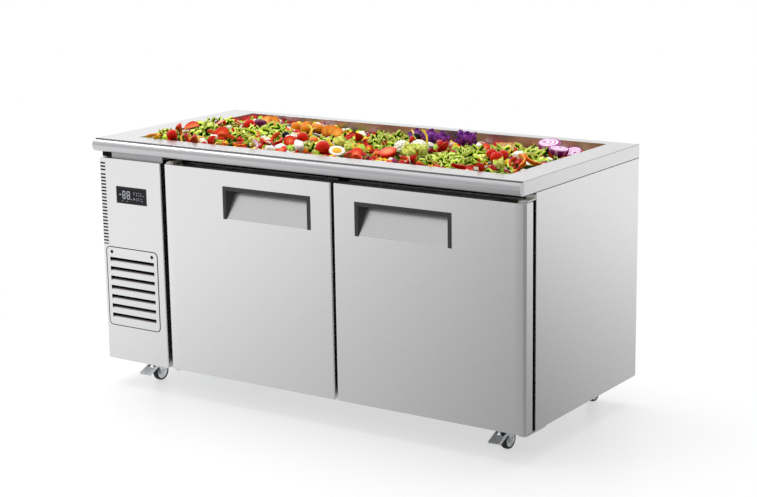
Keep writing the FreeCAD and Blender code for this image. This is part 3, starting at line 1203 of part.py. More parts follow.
def castor_fork(with_pedal):
    """Swivel crown and two trailing legs with the bolted axle, and on a braked castor the pedal's pin."""
    low = WHEEL_RADIUS - FORK_END_RADIUS
    near = CASTOR_TRAIL - FORK_END_RADIUS
    far = CASTOR_TRAIL + FORK_END_RADIUS
    chamfer = FORK_END_CHAMFER
    profile = ((-FORK_NOSE, CROWN_TOP), (FORK_BACK, CROWN_TOP), (far, WHEEL_RADIUS + FORK_END_RADIUS),
               (far, low + chamfer), (far - chamfer, low), (near + chamfer, low), (near, low + chamfer),
               (near, WHEEL_RADIUS))
    legs = [prism([Vector(x, y, z) for y, z in profile], Vector(FORK_SHEET, 0, 0))
            for x in (-LEG_OUTSIDE, LEG_INSIDE)]
    side = Vector(1, 0, 0)
    axle_at = Vector(0, CASTOR_TRAIL, WHEEL_RADIUS)
    axle = rod(AXLE_RADIUS, axle_at - side * LEG_OUTSIDE, axle_at + side * LEG_OUTSIDE)
    axle_reach = LEG_OUTSIDE + AXLE_HEAD
    heads = [hex_bar(AXLE_HEAD_RADIUS, axle_at + side * LEG_OUTSIDE, axle_at + side * axle_reach),
             hex_bar(AXLE_HEAD_RADIUS, axle_at - side * axle_reach, axle_at - side * LEG_OUTSIDE)]
    pieces = [chamfered_crown(), *legs, axle, *heads]
    if with_pedal:
        pivot = Vector(0, PEDAL_PIVOT_Y, PEDAL_PIVOT_Z)
        reach = LEG_OUTSIDE + PEDAL_GAP + PEDAL_SHEET + AXLE_HEAD
        pieces.append(rod(PEDAL_PIN_RADIUS, pivot - side * reach, pivot + side * reach))
    hole = rod(KINGPIN_RADIUS + KINGPIN_CLEARANCE, Vector(0, 0, CROWN_BOTTOM - SHEET),
               Vector(0, 0, CROWN_TOP + SHEET))
    return joined(*pieces).cut(hole)


def castor_wheel():
    centre = Vector(0, CASTOR_TRAIL, WHEEL_RADIUS)
    half = Vector(WHEEL_WIDTH / 2, 0, 0)
    return rod(WHEEL_RADIUS, centre - half, centre + half).cut(
        rod(AXLE_RADIUS + AXLE_CLEARANCE, centre - half * 2, centre + half * 2))


def brake_pedal():
    """Two arms outside the fork's legs and the tread that joins them in front of the wheel."""
    inside = LEG_OUTSIDE + PEDAL_GAP
    start = Vector(0, PEDAL_PIVOT_Y, PEDAL_PIVOT_Z)
    end = Vector(0, PEDAL_PIVOT_Y - PEDAL_REACH, PEDAL_PIVOT_Z - PEDAL_DROP)
    along = (end - start).normalize()
    up = Vector(0, along.z, -along.y)
    arms = []
    for x in (-inside - PEDAL_SHEET, inside):
        foot = Vector(x, start.y, start.z) - along * PEDAL_ARM_HALF
        tip = Vector(x, end.y, end.z)
        half = up * PEDAL_ARM_HALF
        side = [foot - half, tip - half, tip + half, foot + half]
        arms.append(prism(side, Vector(PEDAL_SHEET, 0, 0)))
    near = start + along * PEDAL_TREAD_START + up * (PEDAL_ARM_HALF - PEDAL_SHEET)
    far = end + along * PEDAL_ARM_HALF + up * (PEDAL_ARM_HALF - PEDAL_SHEET)
    wide = Vector(inside + PEDAL_SHEET, 0, 0)
    plate = prism([near - wide, far - wide, far + wide, near + wide], up * PEDAL_SHEET,
                  [0, PEDAL_ROUND, PEDAL_ROUND, 0])
    pivot = rod(PEDAL_PIN_RADIUS + PEDAL_PIN_CLEARANCE, start - wide * 2, start + wide * 2)
    return joined(*arms, plate).cut(pivot)


def placed(shape, at):
    copy = shape.copy()
    copy.translate(at)
    return copy


def pieces():
    """Every node of the counter: its name and its solids."""
    nodes = {
        "base_pan": [base_pan()],
        "right_side_panel": [side_panel()],
        "left_side_panel": [left_side_panel()],
        "back_panel": [back_panel()],
        "insulation": [cabinet_foam(), worktop_foam()],
        "inner_liner": [inner_liner()],
        "machine_bulkhead": [machine_bulkhead()],
        "front_frame": [front_frame()],
        "service_panel": [service_panel()],
        "louvre_grille": [louvre_grille()],
        "grille_screws": grille_screws(),
        "display_window": [display_window()],
        "controller_housing": [controller_housing()],
        "fascia_strip": [fascia_strip()],
        "worktop": worktop(),
        "front_nosing": [front_nosing()],
        "well_liner": [well_collar(), well_tub()],
        "divider_bars": divider_bars(),
        "unit_tray": [unit_tray()],
        "compressor": [compressor()],
        "condenser_coil": [condenser_coil()],
        "fan_shroud": [fan_shroud()],
        "condenser_fan_motor": [condenser_fan_motor()],
        "condenser_fan_blade": [condenser_fan_blade()],
        "refrigerant_pipes": refrigerant_pipes(),
        "cable_gland": [cable_gland()],
        "evaporator_housing": [evaporator_housing()],
        "evaporator_coil": [evaporator_coil()],
        "evaporator_fan_motor": [evaporator_fan_motor()],
        "evaporator_fan_blade": [evaporator_fan_blade()],
        "shelf_rails": shelf_rails(),
        "wire_shelves": wire_shelves(),
    }
    for index in range(PAN_COUNT):
        nodes[f"food_pan_{index + 1}"] = [food_pan(index)]

    door_pieces = {
        "door_skin": [door_skin()],
        "door_inner": [door_inner()],
        "door_gasket": [door_gasket()],
        "handle_trim": [handle_trim()],
        "door_bushes": door_bushes(),
    }
    for name, shapes in door_pieces.items():
        nodes[f"right_{name}"] = shapes
        nodes[f"left_{name}"] = [mirrored_door(shape) for shape in shapes]
    for name, shapes in (("hinge_brackets", hinge_brackets()), ("hinge_pins", hinge_pins())):
        nodes[name] = shapes + [mirrored_door(shape) for shape in shapes]

    nodes["castor_plates"] = [placed(castor_plate(), at) for at in CASTOR_PLACES.values()]
    for place, at in CASTOR_PLACES.items():
        braked = place.startswith("front")
        nodes[f"{place}_castor_fork"] = [placed(castor_fork(braked), at)]
        nodes[f"{place}_castor_wheel"] = [placed(castor_wheel(), at)]
        if braked:
            nodes[f"{place}_brake_pedal"] = [placed(brake_pedal(), at)]
    return nodes


def main():
    os.makedirs("parts", exist_ok=True)
    for name, shapes in pieces().items():
        solids = [part for shape in shapes for part in shape.Solids]
        node = solids[0] if len(solids) == 1 else Part.makeCompound(solids)
        node.exportStep(f"parts/{name}.step")
        volume = sum(part.Volume for part in solids) / 1000
        print(f"{name}: {len(solids)} solids, {volume:.1f} cm3, valid {node.isValid()}")


main()
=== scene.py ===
import math

import bmesh
import bpy
from mathutils import Matrix, Vector, noise


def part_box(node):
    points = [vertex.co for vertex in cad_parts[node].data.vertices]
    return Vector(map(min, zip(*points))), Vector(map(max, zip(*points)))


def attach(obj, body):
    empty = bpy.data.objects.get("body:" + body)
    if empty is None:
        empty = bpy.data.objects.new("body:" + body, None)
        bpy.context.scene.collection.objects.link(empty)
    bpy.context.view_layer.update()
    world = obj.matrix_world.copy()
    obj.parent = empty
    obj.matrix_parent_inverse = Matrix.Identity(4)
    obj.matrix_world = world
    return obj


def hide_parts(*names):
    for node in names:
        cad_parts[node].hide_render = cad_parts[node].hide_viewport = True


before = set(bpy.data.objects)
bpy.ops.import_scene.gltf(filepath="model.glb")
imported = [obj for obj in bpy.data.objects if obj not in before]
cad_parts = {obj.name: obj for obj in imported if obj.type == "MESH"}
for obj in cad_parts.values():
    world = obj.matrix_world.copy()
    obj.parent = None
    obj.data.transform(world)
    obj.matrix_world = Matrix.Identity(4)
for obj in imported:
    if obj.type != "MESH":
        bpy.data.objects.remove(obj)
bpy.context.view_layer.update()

# X runs along the counter, -Y is its front and Z is up. The frame is in metres; MM is one millimetre.
MM = 0.001
GOLDEN_ANGLE = math.pi * (3 - math.sqrt(5))
SAME_POINT, SAME_CAD_POINT = 0.002 * MM, 0.005 * MM  # points closer than this are one
FLAT, SHARP = math.radians(0.5), math.radians(32)    # CAD edges below FLAT go, and above SHARP are softened
FLOAT_MIN, FLOAT_MAX, FLOAT_OUT = 2, 3, 1            # sockets of a Random Value node set to numbers
VECTOR_MIN, VECTOR_MAX, VECTOR_OUT = 0, 1, 0         # sockets of a Random Value node set to vectors
MIX_FROM, MIX_TO, MIX_OUT = 6, 7, 2                  # sockets of a Mix node set to colours

NOSE_LOW, NOSE_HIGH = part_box("front_nosing")
TOP_LOW, TOP_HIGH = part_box("worktop")
PANS = [f"food_pan_{number}" for number in (1, 2, 3, 4)]
DOORS = ("left", "right")
CASTORS = ("front_left", "front_right", "rear_left", "rear_right")


# Helpers for nodes and meshes
def linear(colour):
    """An sRGB hex colour as linear RGBA."""
    values = [int(colour[i:i + 2], 16) / 255 for i in (1, 3, 5)]
    return [v / 12.92 if v <= 0.04045 else ((v + 0.055) / 1.055) ** 2.4 for v in values] + [1.0]


def add(tree, kind, inputs=None, stops=None, feeds=None, **settings):
    """Adds a node: settings are its properties, inputs its sockets' values or what feeds them.

    A node given as an input feeds from its first output; the new node's first output goes to feeds."""
    made = tree.nodes.new(kind)
    for name, value in settings.items():
        setattr(made, name, value)
    for name, value in (inputs or {}).items():
        if isinstance(value, bpy.types.Node):
            value = value.outputs[0]
        if isinstance(value, bpy.types.NodeSocket):
            tree.links.new(value, made.inputs[name])
        else:
            made.inputs[name].default_value = value
    if stops:
        ramp = made.color_ramp.elements
        while len(ramp) < len(stops):
            ramp.new(1.0)
        for element, (place, colour) in zip(ramp, stops):
            element.position = place
            element.color = linear(colour)
    if feeds is not None:
        tree.links.new(made.outputs[0], feeds)
    return made


def material(name, colour, specular=0.5, **sockets):
    """A named material with plain values on its shader."""
    made = bpy.data.materials.new(name)
    made.use_nodes = True
    shader = made.node_tree.nodes["Principled BSDF"]
    shader.inputs["Base Color"].default_value = linear(colour)
    shader.inputs["Specular IOR Level"].default_value = specular
    for socket, value in sockets.items():
        shader.inputs[socket].default_value = value
    return made


def workings(made):
    """A material's node tree and its shader, for patterns."""
    return made.node_tree, made.node_tree.nodes["Principled BSDF"]


def linked_object(name, data):
    """A new object in the scene."""
    made = bpy.data.objects.new(name, data)
    bpy.context.scene.collection.objects.link(made)
    return made


def mesh_object(name, verts, faces, finish, smooth=35.0, shades=None):
    """A closed mesh with outward normals, smooth below the given angle; its material reads the shades."""
    mesh = bpy.data.meshes.new(name)
    mesh.from_pydata([tuple(v) for v in verts], [], faces)
    if shades:
        mesh.attributes.new("shade", "FLOAT", "POINT").data.foreach_set("value", shades)
    bm = bmesh.new()
    bm.from_mesh(mesh)
    bmesh.ops.remove_doubles(bm, verts=bm.verts, dist=SAME_POINT)
    bmesh.ops.recalc_face_normals(bm, faces=bm.faces)
    bm.to_mesh(mesh)
    bm.free()
    mesh.shade_smooth()
    mesh.set_sharp_from_angle(angle=math.radians(smooth))
    mesh.materials.append(finish)
    return linked_object(name, mesh)


def piece(made, body, slot, *replaced):
    """Puts a finished piece on its body and hides the CAD nodes that it stands for; the slot is not used.
    """
    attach(made, body)
    if replaced:
        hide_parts(*replaced)


def extruded(outline, sweep):
    """Vertices and faces of a closed outline pushed along the sweep."""
    count = len(outline)
    verts = [Vector(p) for p in outline] + [Vector(p) + Vector(sweep) for p in outline]
    faces = [tuple(range(count)), tuple(range(count, 2 * count))]
    faces += [(i, (i + 1) % count, count + (i + 1) % count, count + i) for i in range(count)]
    return verts, faces


def boxed(low, high):
    """Vertices and faces of a box."""
    outline = [(low[0], low[1], low[2]), (high[0], low[1], low[2]), (high[0], low[1], high[2]),
               (low[0], low[1], high[2])]
    return extruded(outline, (0, high[1] - low[1], 0))


def together(shapes):
    """Several shapes' vertices and faces as one list of each."""
    verts, faces = [], []
    for more_verts, more_faces in shapes:
        base = len(verts)
        verts += more_verts
        faces += [tuple(base + i for i in face) for face in more_faces]
    return verts, faces


def lathed(profile, centre=(0, 0, 0), axis=(0, 0, 1), segments=48):
    """Vertices and faces of a closed (radius, along) profile turned about an axis."""
    turn = Vector((0, 0, 1)).rotation_difference(Vector(axis)).to_matrix()
    count = len(profile)
    verts, faces = [], []
    for i in range(segments):
        angle = 2 * math.pi * i / segments
        for radius, along in profile:
            at = Vector((radius * math.cos(angle), radius * math.sin(angle), along))
            verts.append(Vector(centre) + turn @ at)
        near, far = i * count, (i + 1) % segments * count
        for j in range(count):
            k = (j + 1) % count
            faces.append((near + j, far + j, far + k, near + k))
    return verts, faces


def bands(rings, around, closed=False):
    """Faces between each ring of points and the next; a closed row joins its last ring to its first."""
    faces = []
    for i in range(rings if closed else rings - 1):
        near, far = i * around, (i + 1) % rings * around
        for j in range(around):
            k = (j + 1) % around
            faces.append((near + j, near + k, far + k, far + j))
    return faces


def capped_bands(rings, around):
    """The same for an open row, closed by a face at each end."""
    return bands(rings, around) + [tuple(range(around)), tuple(range((rings - 1) * around, rings * around))]


def grid_rim(rows, cols):
    """Numbers of the points round the edge of a grid, in order."""
    rim = list(range(cols)) + [i * cols + cols - 1 for i in range(1, rows)]
    rim += [(rows - 1) * cols + j for j in range(cols - 2, -1, -1)]
    return rim + [i * cols for i in range(rows - 2, 0, -1)]


def rounded_loop(x0, x1, z0, z1, radius, steps=5):
    """Points round a rectangle with round corners, as many for any size."""
    points = []
    corners = ((x1 - radius, z1 - radius, 0), (x0 + radius, z1 - radius, 90),
               (x0 + radius, z0 + radius, 180), (x1 - radius, z0 + radius, 270))
    for x, z, start in corners:
        for i in range(steps + 1):
            angle = math.radians(start + 90 * i / steps)
            points.append((x + radius * math.cos(angle), z + radius * math.sin(angle)))
    return points


def merged_copy(node, drop):
    """A CAD node's mesh with loose triangles merged, flat areas made whole and chosen faces dropped."""
    bm = bmesh.new()
    bm.from_mesh(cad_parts[node].data)
    bmesh.ops.remove_doubles(bm, verts=bm.verts, dist=SAME_CAD_POINT)
    if drop:
        bmesh.ops.delete(bm, geom=[face for face in bm.faces if drop(face)], context="FACES")
    bmesh.ops.dissolve_limit(bm, angle_limit=FLAT, verts=bm.verts, edges=bm.edges)
    bmesh.ops.recalc_face_normals(bm, faces=bm.faces)
    return bm


def dressed(node, body, slot, edge, drop=None):
    """A CAD node's own shape with softened edges and smooth rounds, which stands for the node."""
    bm = merged_copy(node, drop)
    mesh = bpy.data.meshes.new(f"{node}_finished")
    bm.to_mesh(mesh)
    bm.free()
    mesh.shade_smooth()
    mesh.materials.append(NODE_FINISHES[node])
    made = linked_object(f"{node}_finished", mesh)
    bevel = made.modifiers.new("softened edges", "BEVEL")
    bevel.width = edge
    bevel.segments = 2
    bevel.limit_method = "ANGLE"
    bevel.angle_limit = SHARP
    flat = made.modifiers.new("flat faces stay flat", "WEIGHTED_NORMAL")
    flat.weight = 100
    piece(made, body, slot, node)


def maker_tree(name, inputs):
    """A geometry node tree with named inputs, given as name: kind; with the sockets that they feed from."""
    tree = bpy.data.node_groups.new(name, "GeometryNodeTree")
    tree.interface.new_socket("Geometry", in_out="OUTPUT", socket_type="NodeSocketGeometry")
    for label, kind in inputs.items():
        tree.interface.new_socket(label, in_out="INPUT", socket_type=f"NodeSocket{kind}")
    return tree, add(tree, "NodeGroupInput").outputs


def end_tree(tree, instances, finish):
    """Makes a tree's instances real, gives them their material and sends them out."""
    real = add(tree, "GeometryNodeRealizeInstances", {"Geometry": instances})
    finished = add(tree, "GeometryNodeSetMaterial", {"Geometry": real, "Material": finish})
    add(tree, "NodeGroupOutput", {"Geometry": finished})
    return tree


def grown(base, tree, values):
    """The mesh that a node tree makes from a base mesh, with its named inputs set."""
    maker = linked_object("maker", base)
    modifier = maker.modifiers.new("maker", "NODES")
    sockets = {item.name: item.identifier for item in tree.interface.items_tree if item.in_out == "INPUT"}
    modifier.node_group = tree
    for name, value in values.items():
        modifier[sockets[name]] = value
    graph = bpy.context.evaluated_depsgraph_get()
    finished = maker.evaluated_get(graph)
    mesh = bpy.data.meshes.new_from_object(finished, preserve_all_data_layers=True, depsgraph=graph)
    bpy.data.objects.remove(maker)
    return mesh


# Metals, plastics and rubber
def brushed_stainless(name, colour, grain, roughness):
    """Brushed stainless sheet: fine straight scratches that blur reflections along the grain.

    The real scratches are about 0.05 mm wide; they are drawn 2 mm wide so that they show."""
    made = material(name, colour, Metallic=1.0)
    tree, shader = workings(made)
    width, length, uneven = 2 * MM, 220 * MM, 0.03
    scale = [1 / width] * 3
    scale["xyz".index(grain)] = 1 / length
    place = add(tree, "ShaderNodeTexCoord")
    stretched = add(tree, "ShaderNodeMapping", {"Vector": place.outputs["Object"], "Scale": scale})
    scratches = add(tree, "ShaderNodeTexNoise", {"Vector": stretched, "Scale": 1.0, "Detail": 3.0})
    add(tree, "ShaderNodeMapRange", {"Value": scratches, "To Min": roughness - uneven,
                                     "To Max": roughness + uneven}, feeds=shader.inputs["Roughness"])
    add(tree, "ShaderNodeBump", {"Height": scratches, "Strength": 0.006, "Distance": 0.1 * MM},
        feeds=shader.inputs["Normal"])
    return made


def mottled(name, dark, light, grain, roughness, metallic=0.0):
    """A surface with a soft cloudy variation at its real grain size."""
    made = material(name, light, Metallic=metallic, Roughness=roughness)
    tree, shader = workings(made)
    place = add(tree, "ShaderNodeTexCoord")
    cloud = add(tree, "ShaderNodeTexNoise", {"Vector": place.outputs["Object"], "Scale": 1 / grain,
                                             "Detail": 4.0})
    add(tree, "ShaderNodeValToRGB", {"Fac": cloud}, stops=[(0.35, dark), (0.65, light)],
        feeds=shader.inputs["Base Color"])
    return made


STEEL = brushed_stainless("brushed_stainless_sheet", "#E6E6E7", "x", 0.27)
SIDE_STEEL = brushed_stainless("brushed_stainless_side", "#E6E6E7", "y", 0.27)
# The worktop's steel is painted a little darker than the doors' steel: painted shade on the top.
TOP_STEEL_PAINTED_SHADE = brushed_stainless("brushed_stainless_worktop_painted_shade", "#DEDEDF", "x", 0.26)
# The nosing's steel is painted darker than the doors': painted shade for its lower half, which faces the
# shaded floor.
NOSE_STEEL_PAINTED_SHADE = brushed_stainless("brushed_stainless_nosing_painted_shade", "#CCCCCE", "x", 0.32)
# The fascia's steel is painted mid grey: painted shade for the strip under the nose.
FASCIA_STEEL_PAINTED_SHADE = brushed_stainless("brushed_stainless_fascia_painted_shade", "#A6A6A9", "x", 0.34)
# Its colour is painted darker deeper in the louvre pockets: painted shade.
LOUVRE_STEEL = brushed_stainless("brushed_stainless_louvres", "#E6E6E7", "x", 0.27)
WELL_STEEL = brushed_stainless("satin_stainless_tub", "#C6A9B2", "x", 0.38)
PAN_STEEL = brushed_stainless("satin_stainless_pan", "#DCDCDC", "y", 0.32)
LINER_STEEL = brushed_stainless("satin_stainless_liner", "#D2D4D4", "x", 0.40)
# Galvanised sheet: dull zinc with spangle patches about 12 mm across.
GALVANISED = mottled("galvanised_sheet", "#A3A7AA", "#BDC0C3", 12 * MM, 0.48, 1.0)
# Zinc plating on pressed steel: brighter and smoother than galvanising, a little cloudy.
ZINC = mottled("zinc_plated_steel", "#D4D7DA", "#E6E8EA", 5 * MM, 0.4, 0.7)
# Nickel plating: small bright parts with sharp highlights.
PLATED = material("nickel_plated_steel", "#DADADC", Metallic=1.0, Roughness=0.2)
# Blackened steel: dark, with a tight highlight on domed heads.
BLACK_STEEL = material("blackened_steel", "#1E1C1C", Metallic=0.3, Roughness=0.42)
# Black enamel on the compressor and motors: glossy and deep.
ENAMEL = material("black_enamel", "#141416", Roughness=0.3)
# Copper tube, dulled in patches by handling.
COPPER = mottled("copper_tube", "#B97A55", "#CE9068", 8 * MM, 0.32, 1.0)
# Aluminium fins: pale and soft with a cool tone.
FINS = material("aluminium_fins", "#D0D3D6", Metallic=1.0, Roughness=0.45)
# Polyurethane foam: matt cream with open cells, seen only where the sheets part.
FOAM = mottled("polyurethane_foam", "#D8C99E", "#E9DDBA", 3 * MM, 0.9)
# White moulded plastic: even and half matt.
WHITE_ABS = material("white_moulded_plastic", "#E9E9E7", Roughness=0.42)
# Dark grey moulded plastic of the handles: half matt, so highlights stay broad.
HANDLE_ABS = material("dark_grey_moulded_plastic", "#313233", Roughness=0.46)
# Slate grey moulded plastic of the door end caps: satin.
GREY_ABS = material("grey_moulded_plastic", "#5A626E", Roughness=0.6)
# Black moulded plastic of housings and fans: half matt.
BLACK_ABS = material("black_moulded_plastic", "#161617", Roughness=0.45)
# Nylon of the hinge bushes: waxy off-white.
NYLON = material("natural_nylon", "#DEDCD2", Roughness=0.5)
# Soft vinyl gasket: black with a dull sheen.
GASKET_VINYL = material("black_vinyl_gasket", "#1B1B1C", Roughness=0.6)
# Matt extruded PVC, near black with little sheen: painted shade for the gaps round the doors, so the strips
# stay black between the bright doors.
BREAKER_PVC_PAINTED_SHADE = material("black_extruded_pvc_painted_shade", "#111112", specular=0.1, Roughness=0.75)
# Rubber tread: matt near-black with dusty patches.
TREAD = mottled("black_rubber_tread", "#202021", "#2B2B2B", 6 * MM, 0.75)
# Tinted acrylic window: glossy and near black.
ACRYLIC = material("tinted_acrylic_window", "#15141B", specular=0.2, Roughness=0.2)
# Lit segments behind the window: pale blue-grey.
SEGMENTS = material("lit_display_segments", "#B4B8C4", Roughness=0.5)
# Unlit marks printed inside the window: a little lighter than it.
MARKS = material("printed_display_marks", "#8C8A98", Roughness=0.5)
# Sealant in the worktop's joints: a matt dark grey line, dark as painted shade for the shadow at each
# joint.
SEALANT_PAINTED_SHADE = material("grey_sealant_painted_shade", "#5E5E60", specular=0.2, Roughness=0.7)

FINISHED_NODES = (
    (GALVANISED, "base_pan back_panel machine_bulkhead unit_tray fan_shroud"),
    (STEEL, "front_frame service_panel left_door_skin right_door_skin"),
    (SIDE_STEEL, "left_side_panel right_side_panel"),
    (TOP_STEEL_PAINTED_SHADE, "worktop"),
    (NOSE_STEEL_PAINTED_SHADE, "front_nosing"),
    (FASCIA_STEEL_PAINTED_SHADE, "fascia_strip"),
    (LOUVRE_STEEL, "louvre_grille"),
    (WELL_STEEL, "well_liner"),
    (PAN_STEEL, "divider_bars food_pan_1 food_pan_2 food_pan_3 food_pan_4"),
    (LINER_STEEL, "inner_liner shelf_rails"),
    (ZINC, "hinge_brackets castor_plates front_left_brake_pedal front_right_brake_pedal"),
    (PLATED, "hinge_pins wire_shelves"),
    (BLACK_STEEL, "grille_screws"),
    (ENAMEL, "compressor condenser_fan_motor evaporator_fan_motor"),
    (COPPER, "refrigerant_pipes"),
    (FINS, "condenser_coil evaporator_coil"),
    (FOAM, "insulation"),
    (WHITE_ABS, "evaporator_housing left_door_inner right_door_inner"),
    (HANDLE_ABS, "left_handle_trim right_handle_trim"),
    (BLACK_ABS, "controller_housing condenser_fan_blade evaporator_fan_blade cable_gland"),
    (NYLON, "left_door_bushes right_door_bushes"),
    (GASKET_VINYL, "left_door_gasket right_door_gasket"),
    (ACRYLIC, "display_window"),
)
NODE_FINISHES = {name: finish for finish, names in FINISHED_NODES for name in names.split()}
NODE_FINISHES.update({f"{place}_castor_fork": ZINC for place in CASTORS})
NODE_FINISHES.update({f"{place}_castor_wheel": TREAD for place in CASTORS})
for name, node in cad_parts.items():
    node.data.materials.clear()
    node.data.materials.append(NODE_FINISHES[name])


# Worktop with its nose and joints
def front_nosing():
    """Half-round nose with a smooth arc and flat ends."""
    radius, steps = (NOSE_HIGH.z - NOSE_LOW.z) / 2, 24
    centre_y, centre_z = NOSE_LOW.y + radius, NOSE_LOW.z + radius
    outline = [(NOSE_LOW.x, NOSE_HIGH.y, NOSE_LOW.z)]
    for i in range(steps + 1):
        angle = math.radians(-90 + 180 * i / steps)
        y, z = centre_y - radius * math.cos(angle), centre_z + radius * math.sin(angle)
        outline.append((NOSE_LOW.x, y, z))
    outline.append((NOSE_LOW.x, NOSE_HIGH.y, NOSE_HIGH.z))
    nose = extruded(outline, (NOSE_HIGH.x - NOSE_LOW.x, 0, 0))
    made = mesh_object("front_nosing_finished", *nose, NOSE_STEEL_PAINTED_SHADE)
    piece(made, "cabinet", "stainless_top", "front_nosing")


def worktop():
    """The four sheets of the top as one sheet, without the faces where they meet."""
    beside, margin = 3 * MM, 10 * MM
    mouth_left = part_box(PANS[0])[0].x - beside
    mouth_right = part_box(PANS[3])[1].x + beside
    front, back = TOP_LOW.y + margin, TOP_HIGH.y - margin

    def seam(face):
        middle = face.calc_center_median()
        outside_mouth = middle.x < mouth_left or middle.x > mouth_right
        return abs(face.normal.y) > 0.99 and front < middle.y < back and outside_mouth

    dressed("worktop", "cabinet", "stainless_top", 0.6 * MM, drop=seam)


def joint_sealant_painted_shade():
    """A bead at the foot of the top's front edge, and thin lines under its side edges: dark sealant as
    painted shade for the shadow lines there.
    """
    step, bead, end = NOSE_HIGH.z, 7 * MM, 2 * MM
    left, back = NOSE_LOW.x + end, NOSE_HIGH.y - 0.1 * MM
    outline = [(left, back, step - 0.2 * MM), (left, back - bead, step - 0.2 * MM),
               (left, back - 0.8 * bead, step + 1.0 * MM), (left, back, step + 1.8 * MM)]
    lines = [extruded(outline, (NOSE_HIGH.x - NOSE_LOW.x - 2 * end, 0, 0))]
    for x, outward in ((TOP_LOW.x, -1), (TOP_HIGH.x, 1)):
        near, far = sorted((x - outward * 1.0 * MM, x + outward * 0.25 * MM))
        lines.append(boxed((near, TOP_LOW.y + end, TOP_LOW.z - 1.2 * MM),
                           (far, TOP_HIGH.y - end, TOP_LOW.z + 1.0 * MM)))
    piece(mesh_object("worktop_joint_sealant", *together(lines), SEALANT_PAINTED_SHADE), "cabinet", None)


# Doors
def door_gasket(side):
    """Magnetic door gasket: a foot in the door, a folded bellows and a flat sealing face."""
    node = f"{side}_door_gasket"
    low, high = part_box(node)
    corner, tightest = 9 * MM, 1.5 * MM
    profile = [(4, 0), (18, 0), (18, 3), (14, 5), (17, 8), (14, 11), (20, 12.4), (21.5, 13.8), (21.5, 16.6),
               (20.4, 17.7), (1.6, 17.7), (0.5, 16.6), (0.5, 13.8), (2, 12.4), (8, 11), (5, 8), (8, 5),
               (4, 3)]
    verts = []
    for inset, depth in profile:
        gap = inset * MM
        bend = max(corner - gap, tightest)
        loop = rounded_loop(low.x + gap, high.x - gap, low.z + gap, high.z - gap, bend)
        verts += [(x, low.y + depth * MM, z) for x, z in loop]
    made = mesh_object(f"{node}_bellows", verts, bands(len(profile), len(loop), closed=True), GASKET_VINYL)
    piece(made, f"{side}_door", "gasket_rubber", node)


def breaker_strips():
    """Black moulded strips on the frame's face, over the doors and at the sides of their openings; their
    black is painted shade for the gaps round the doors.
    """
    frame_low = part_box("front_frame")[0]
    left_door, right_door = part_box("left_door_skin"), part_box("right_door_skin")
    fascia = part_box("fascia_strip")
    face, proud, seat, lap = frame_low.y, 1.6 * MM, 0.2 * MM, 13 * MM
    foot, head, under_top = frame_low.z + 1 * MM, left_door[1].z + 2 * MM, NOSE_LOW.z - 0.6 * MM
    right_end = right_door[1].x - 3 * MM
    rectangles = ((fascia[1].x, right_end, head, under_top),
                  (left_door[1].x - lap, right_door[0].x + lap, foot, head),
                  (fascia[1].x, left_door[0].x + lap, foot, head),
                  (right_door[1].x - lap, right_end, foot, head))
    strips = [boxed((x0, face - proud, z0), (x1, face + seat, z1)) for x0, x1, z0, z1 in rectangles]
    # A black corner cap, a dark block of painted shade under the nose's left end, fills the space between
    # the left end and the fascia.
    strips.append(boxed((NOSE_LOW.x + 2 * MM, fascia[0].y + 1 * MM, head),
                        (fascia[0].x, face + seat, under_top)))
    made = mesh_object("door_opening_breaker_strips", *together(strips), BREAKER_PVC_PAINTED_SHADE)
    rounded = made.modifiers.new("moulded edges", "BEVEL")
    rounded.width = 0.6 * MM
    rounded.segments = 2
    piece(made, "cabinet", None)


def door_end_cap(side):
    """A thin grey moulding along a door's top edge, clear of the hinge."""
    low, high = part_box(f"{side}_door_skin")
    hinge_end, free_end, lip, thick, seat = 90 * MM, 2 * MM, 2 * MM, 0.5 * MM, 0.1 * MM
    x0 = low.x + (hinge_end if side == "left" else free_end)
    x1 = high.x - (free_end if side == "left" else hinge_end)
    cap = boxed((x0, low.y + lip, high.z - seat), (x1, high.y - lip, high.z + thick))
    piece(mesh_object(f"{side}_door_end_cap", *cap, GREY_ABS), f"{side}_door", None)


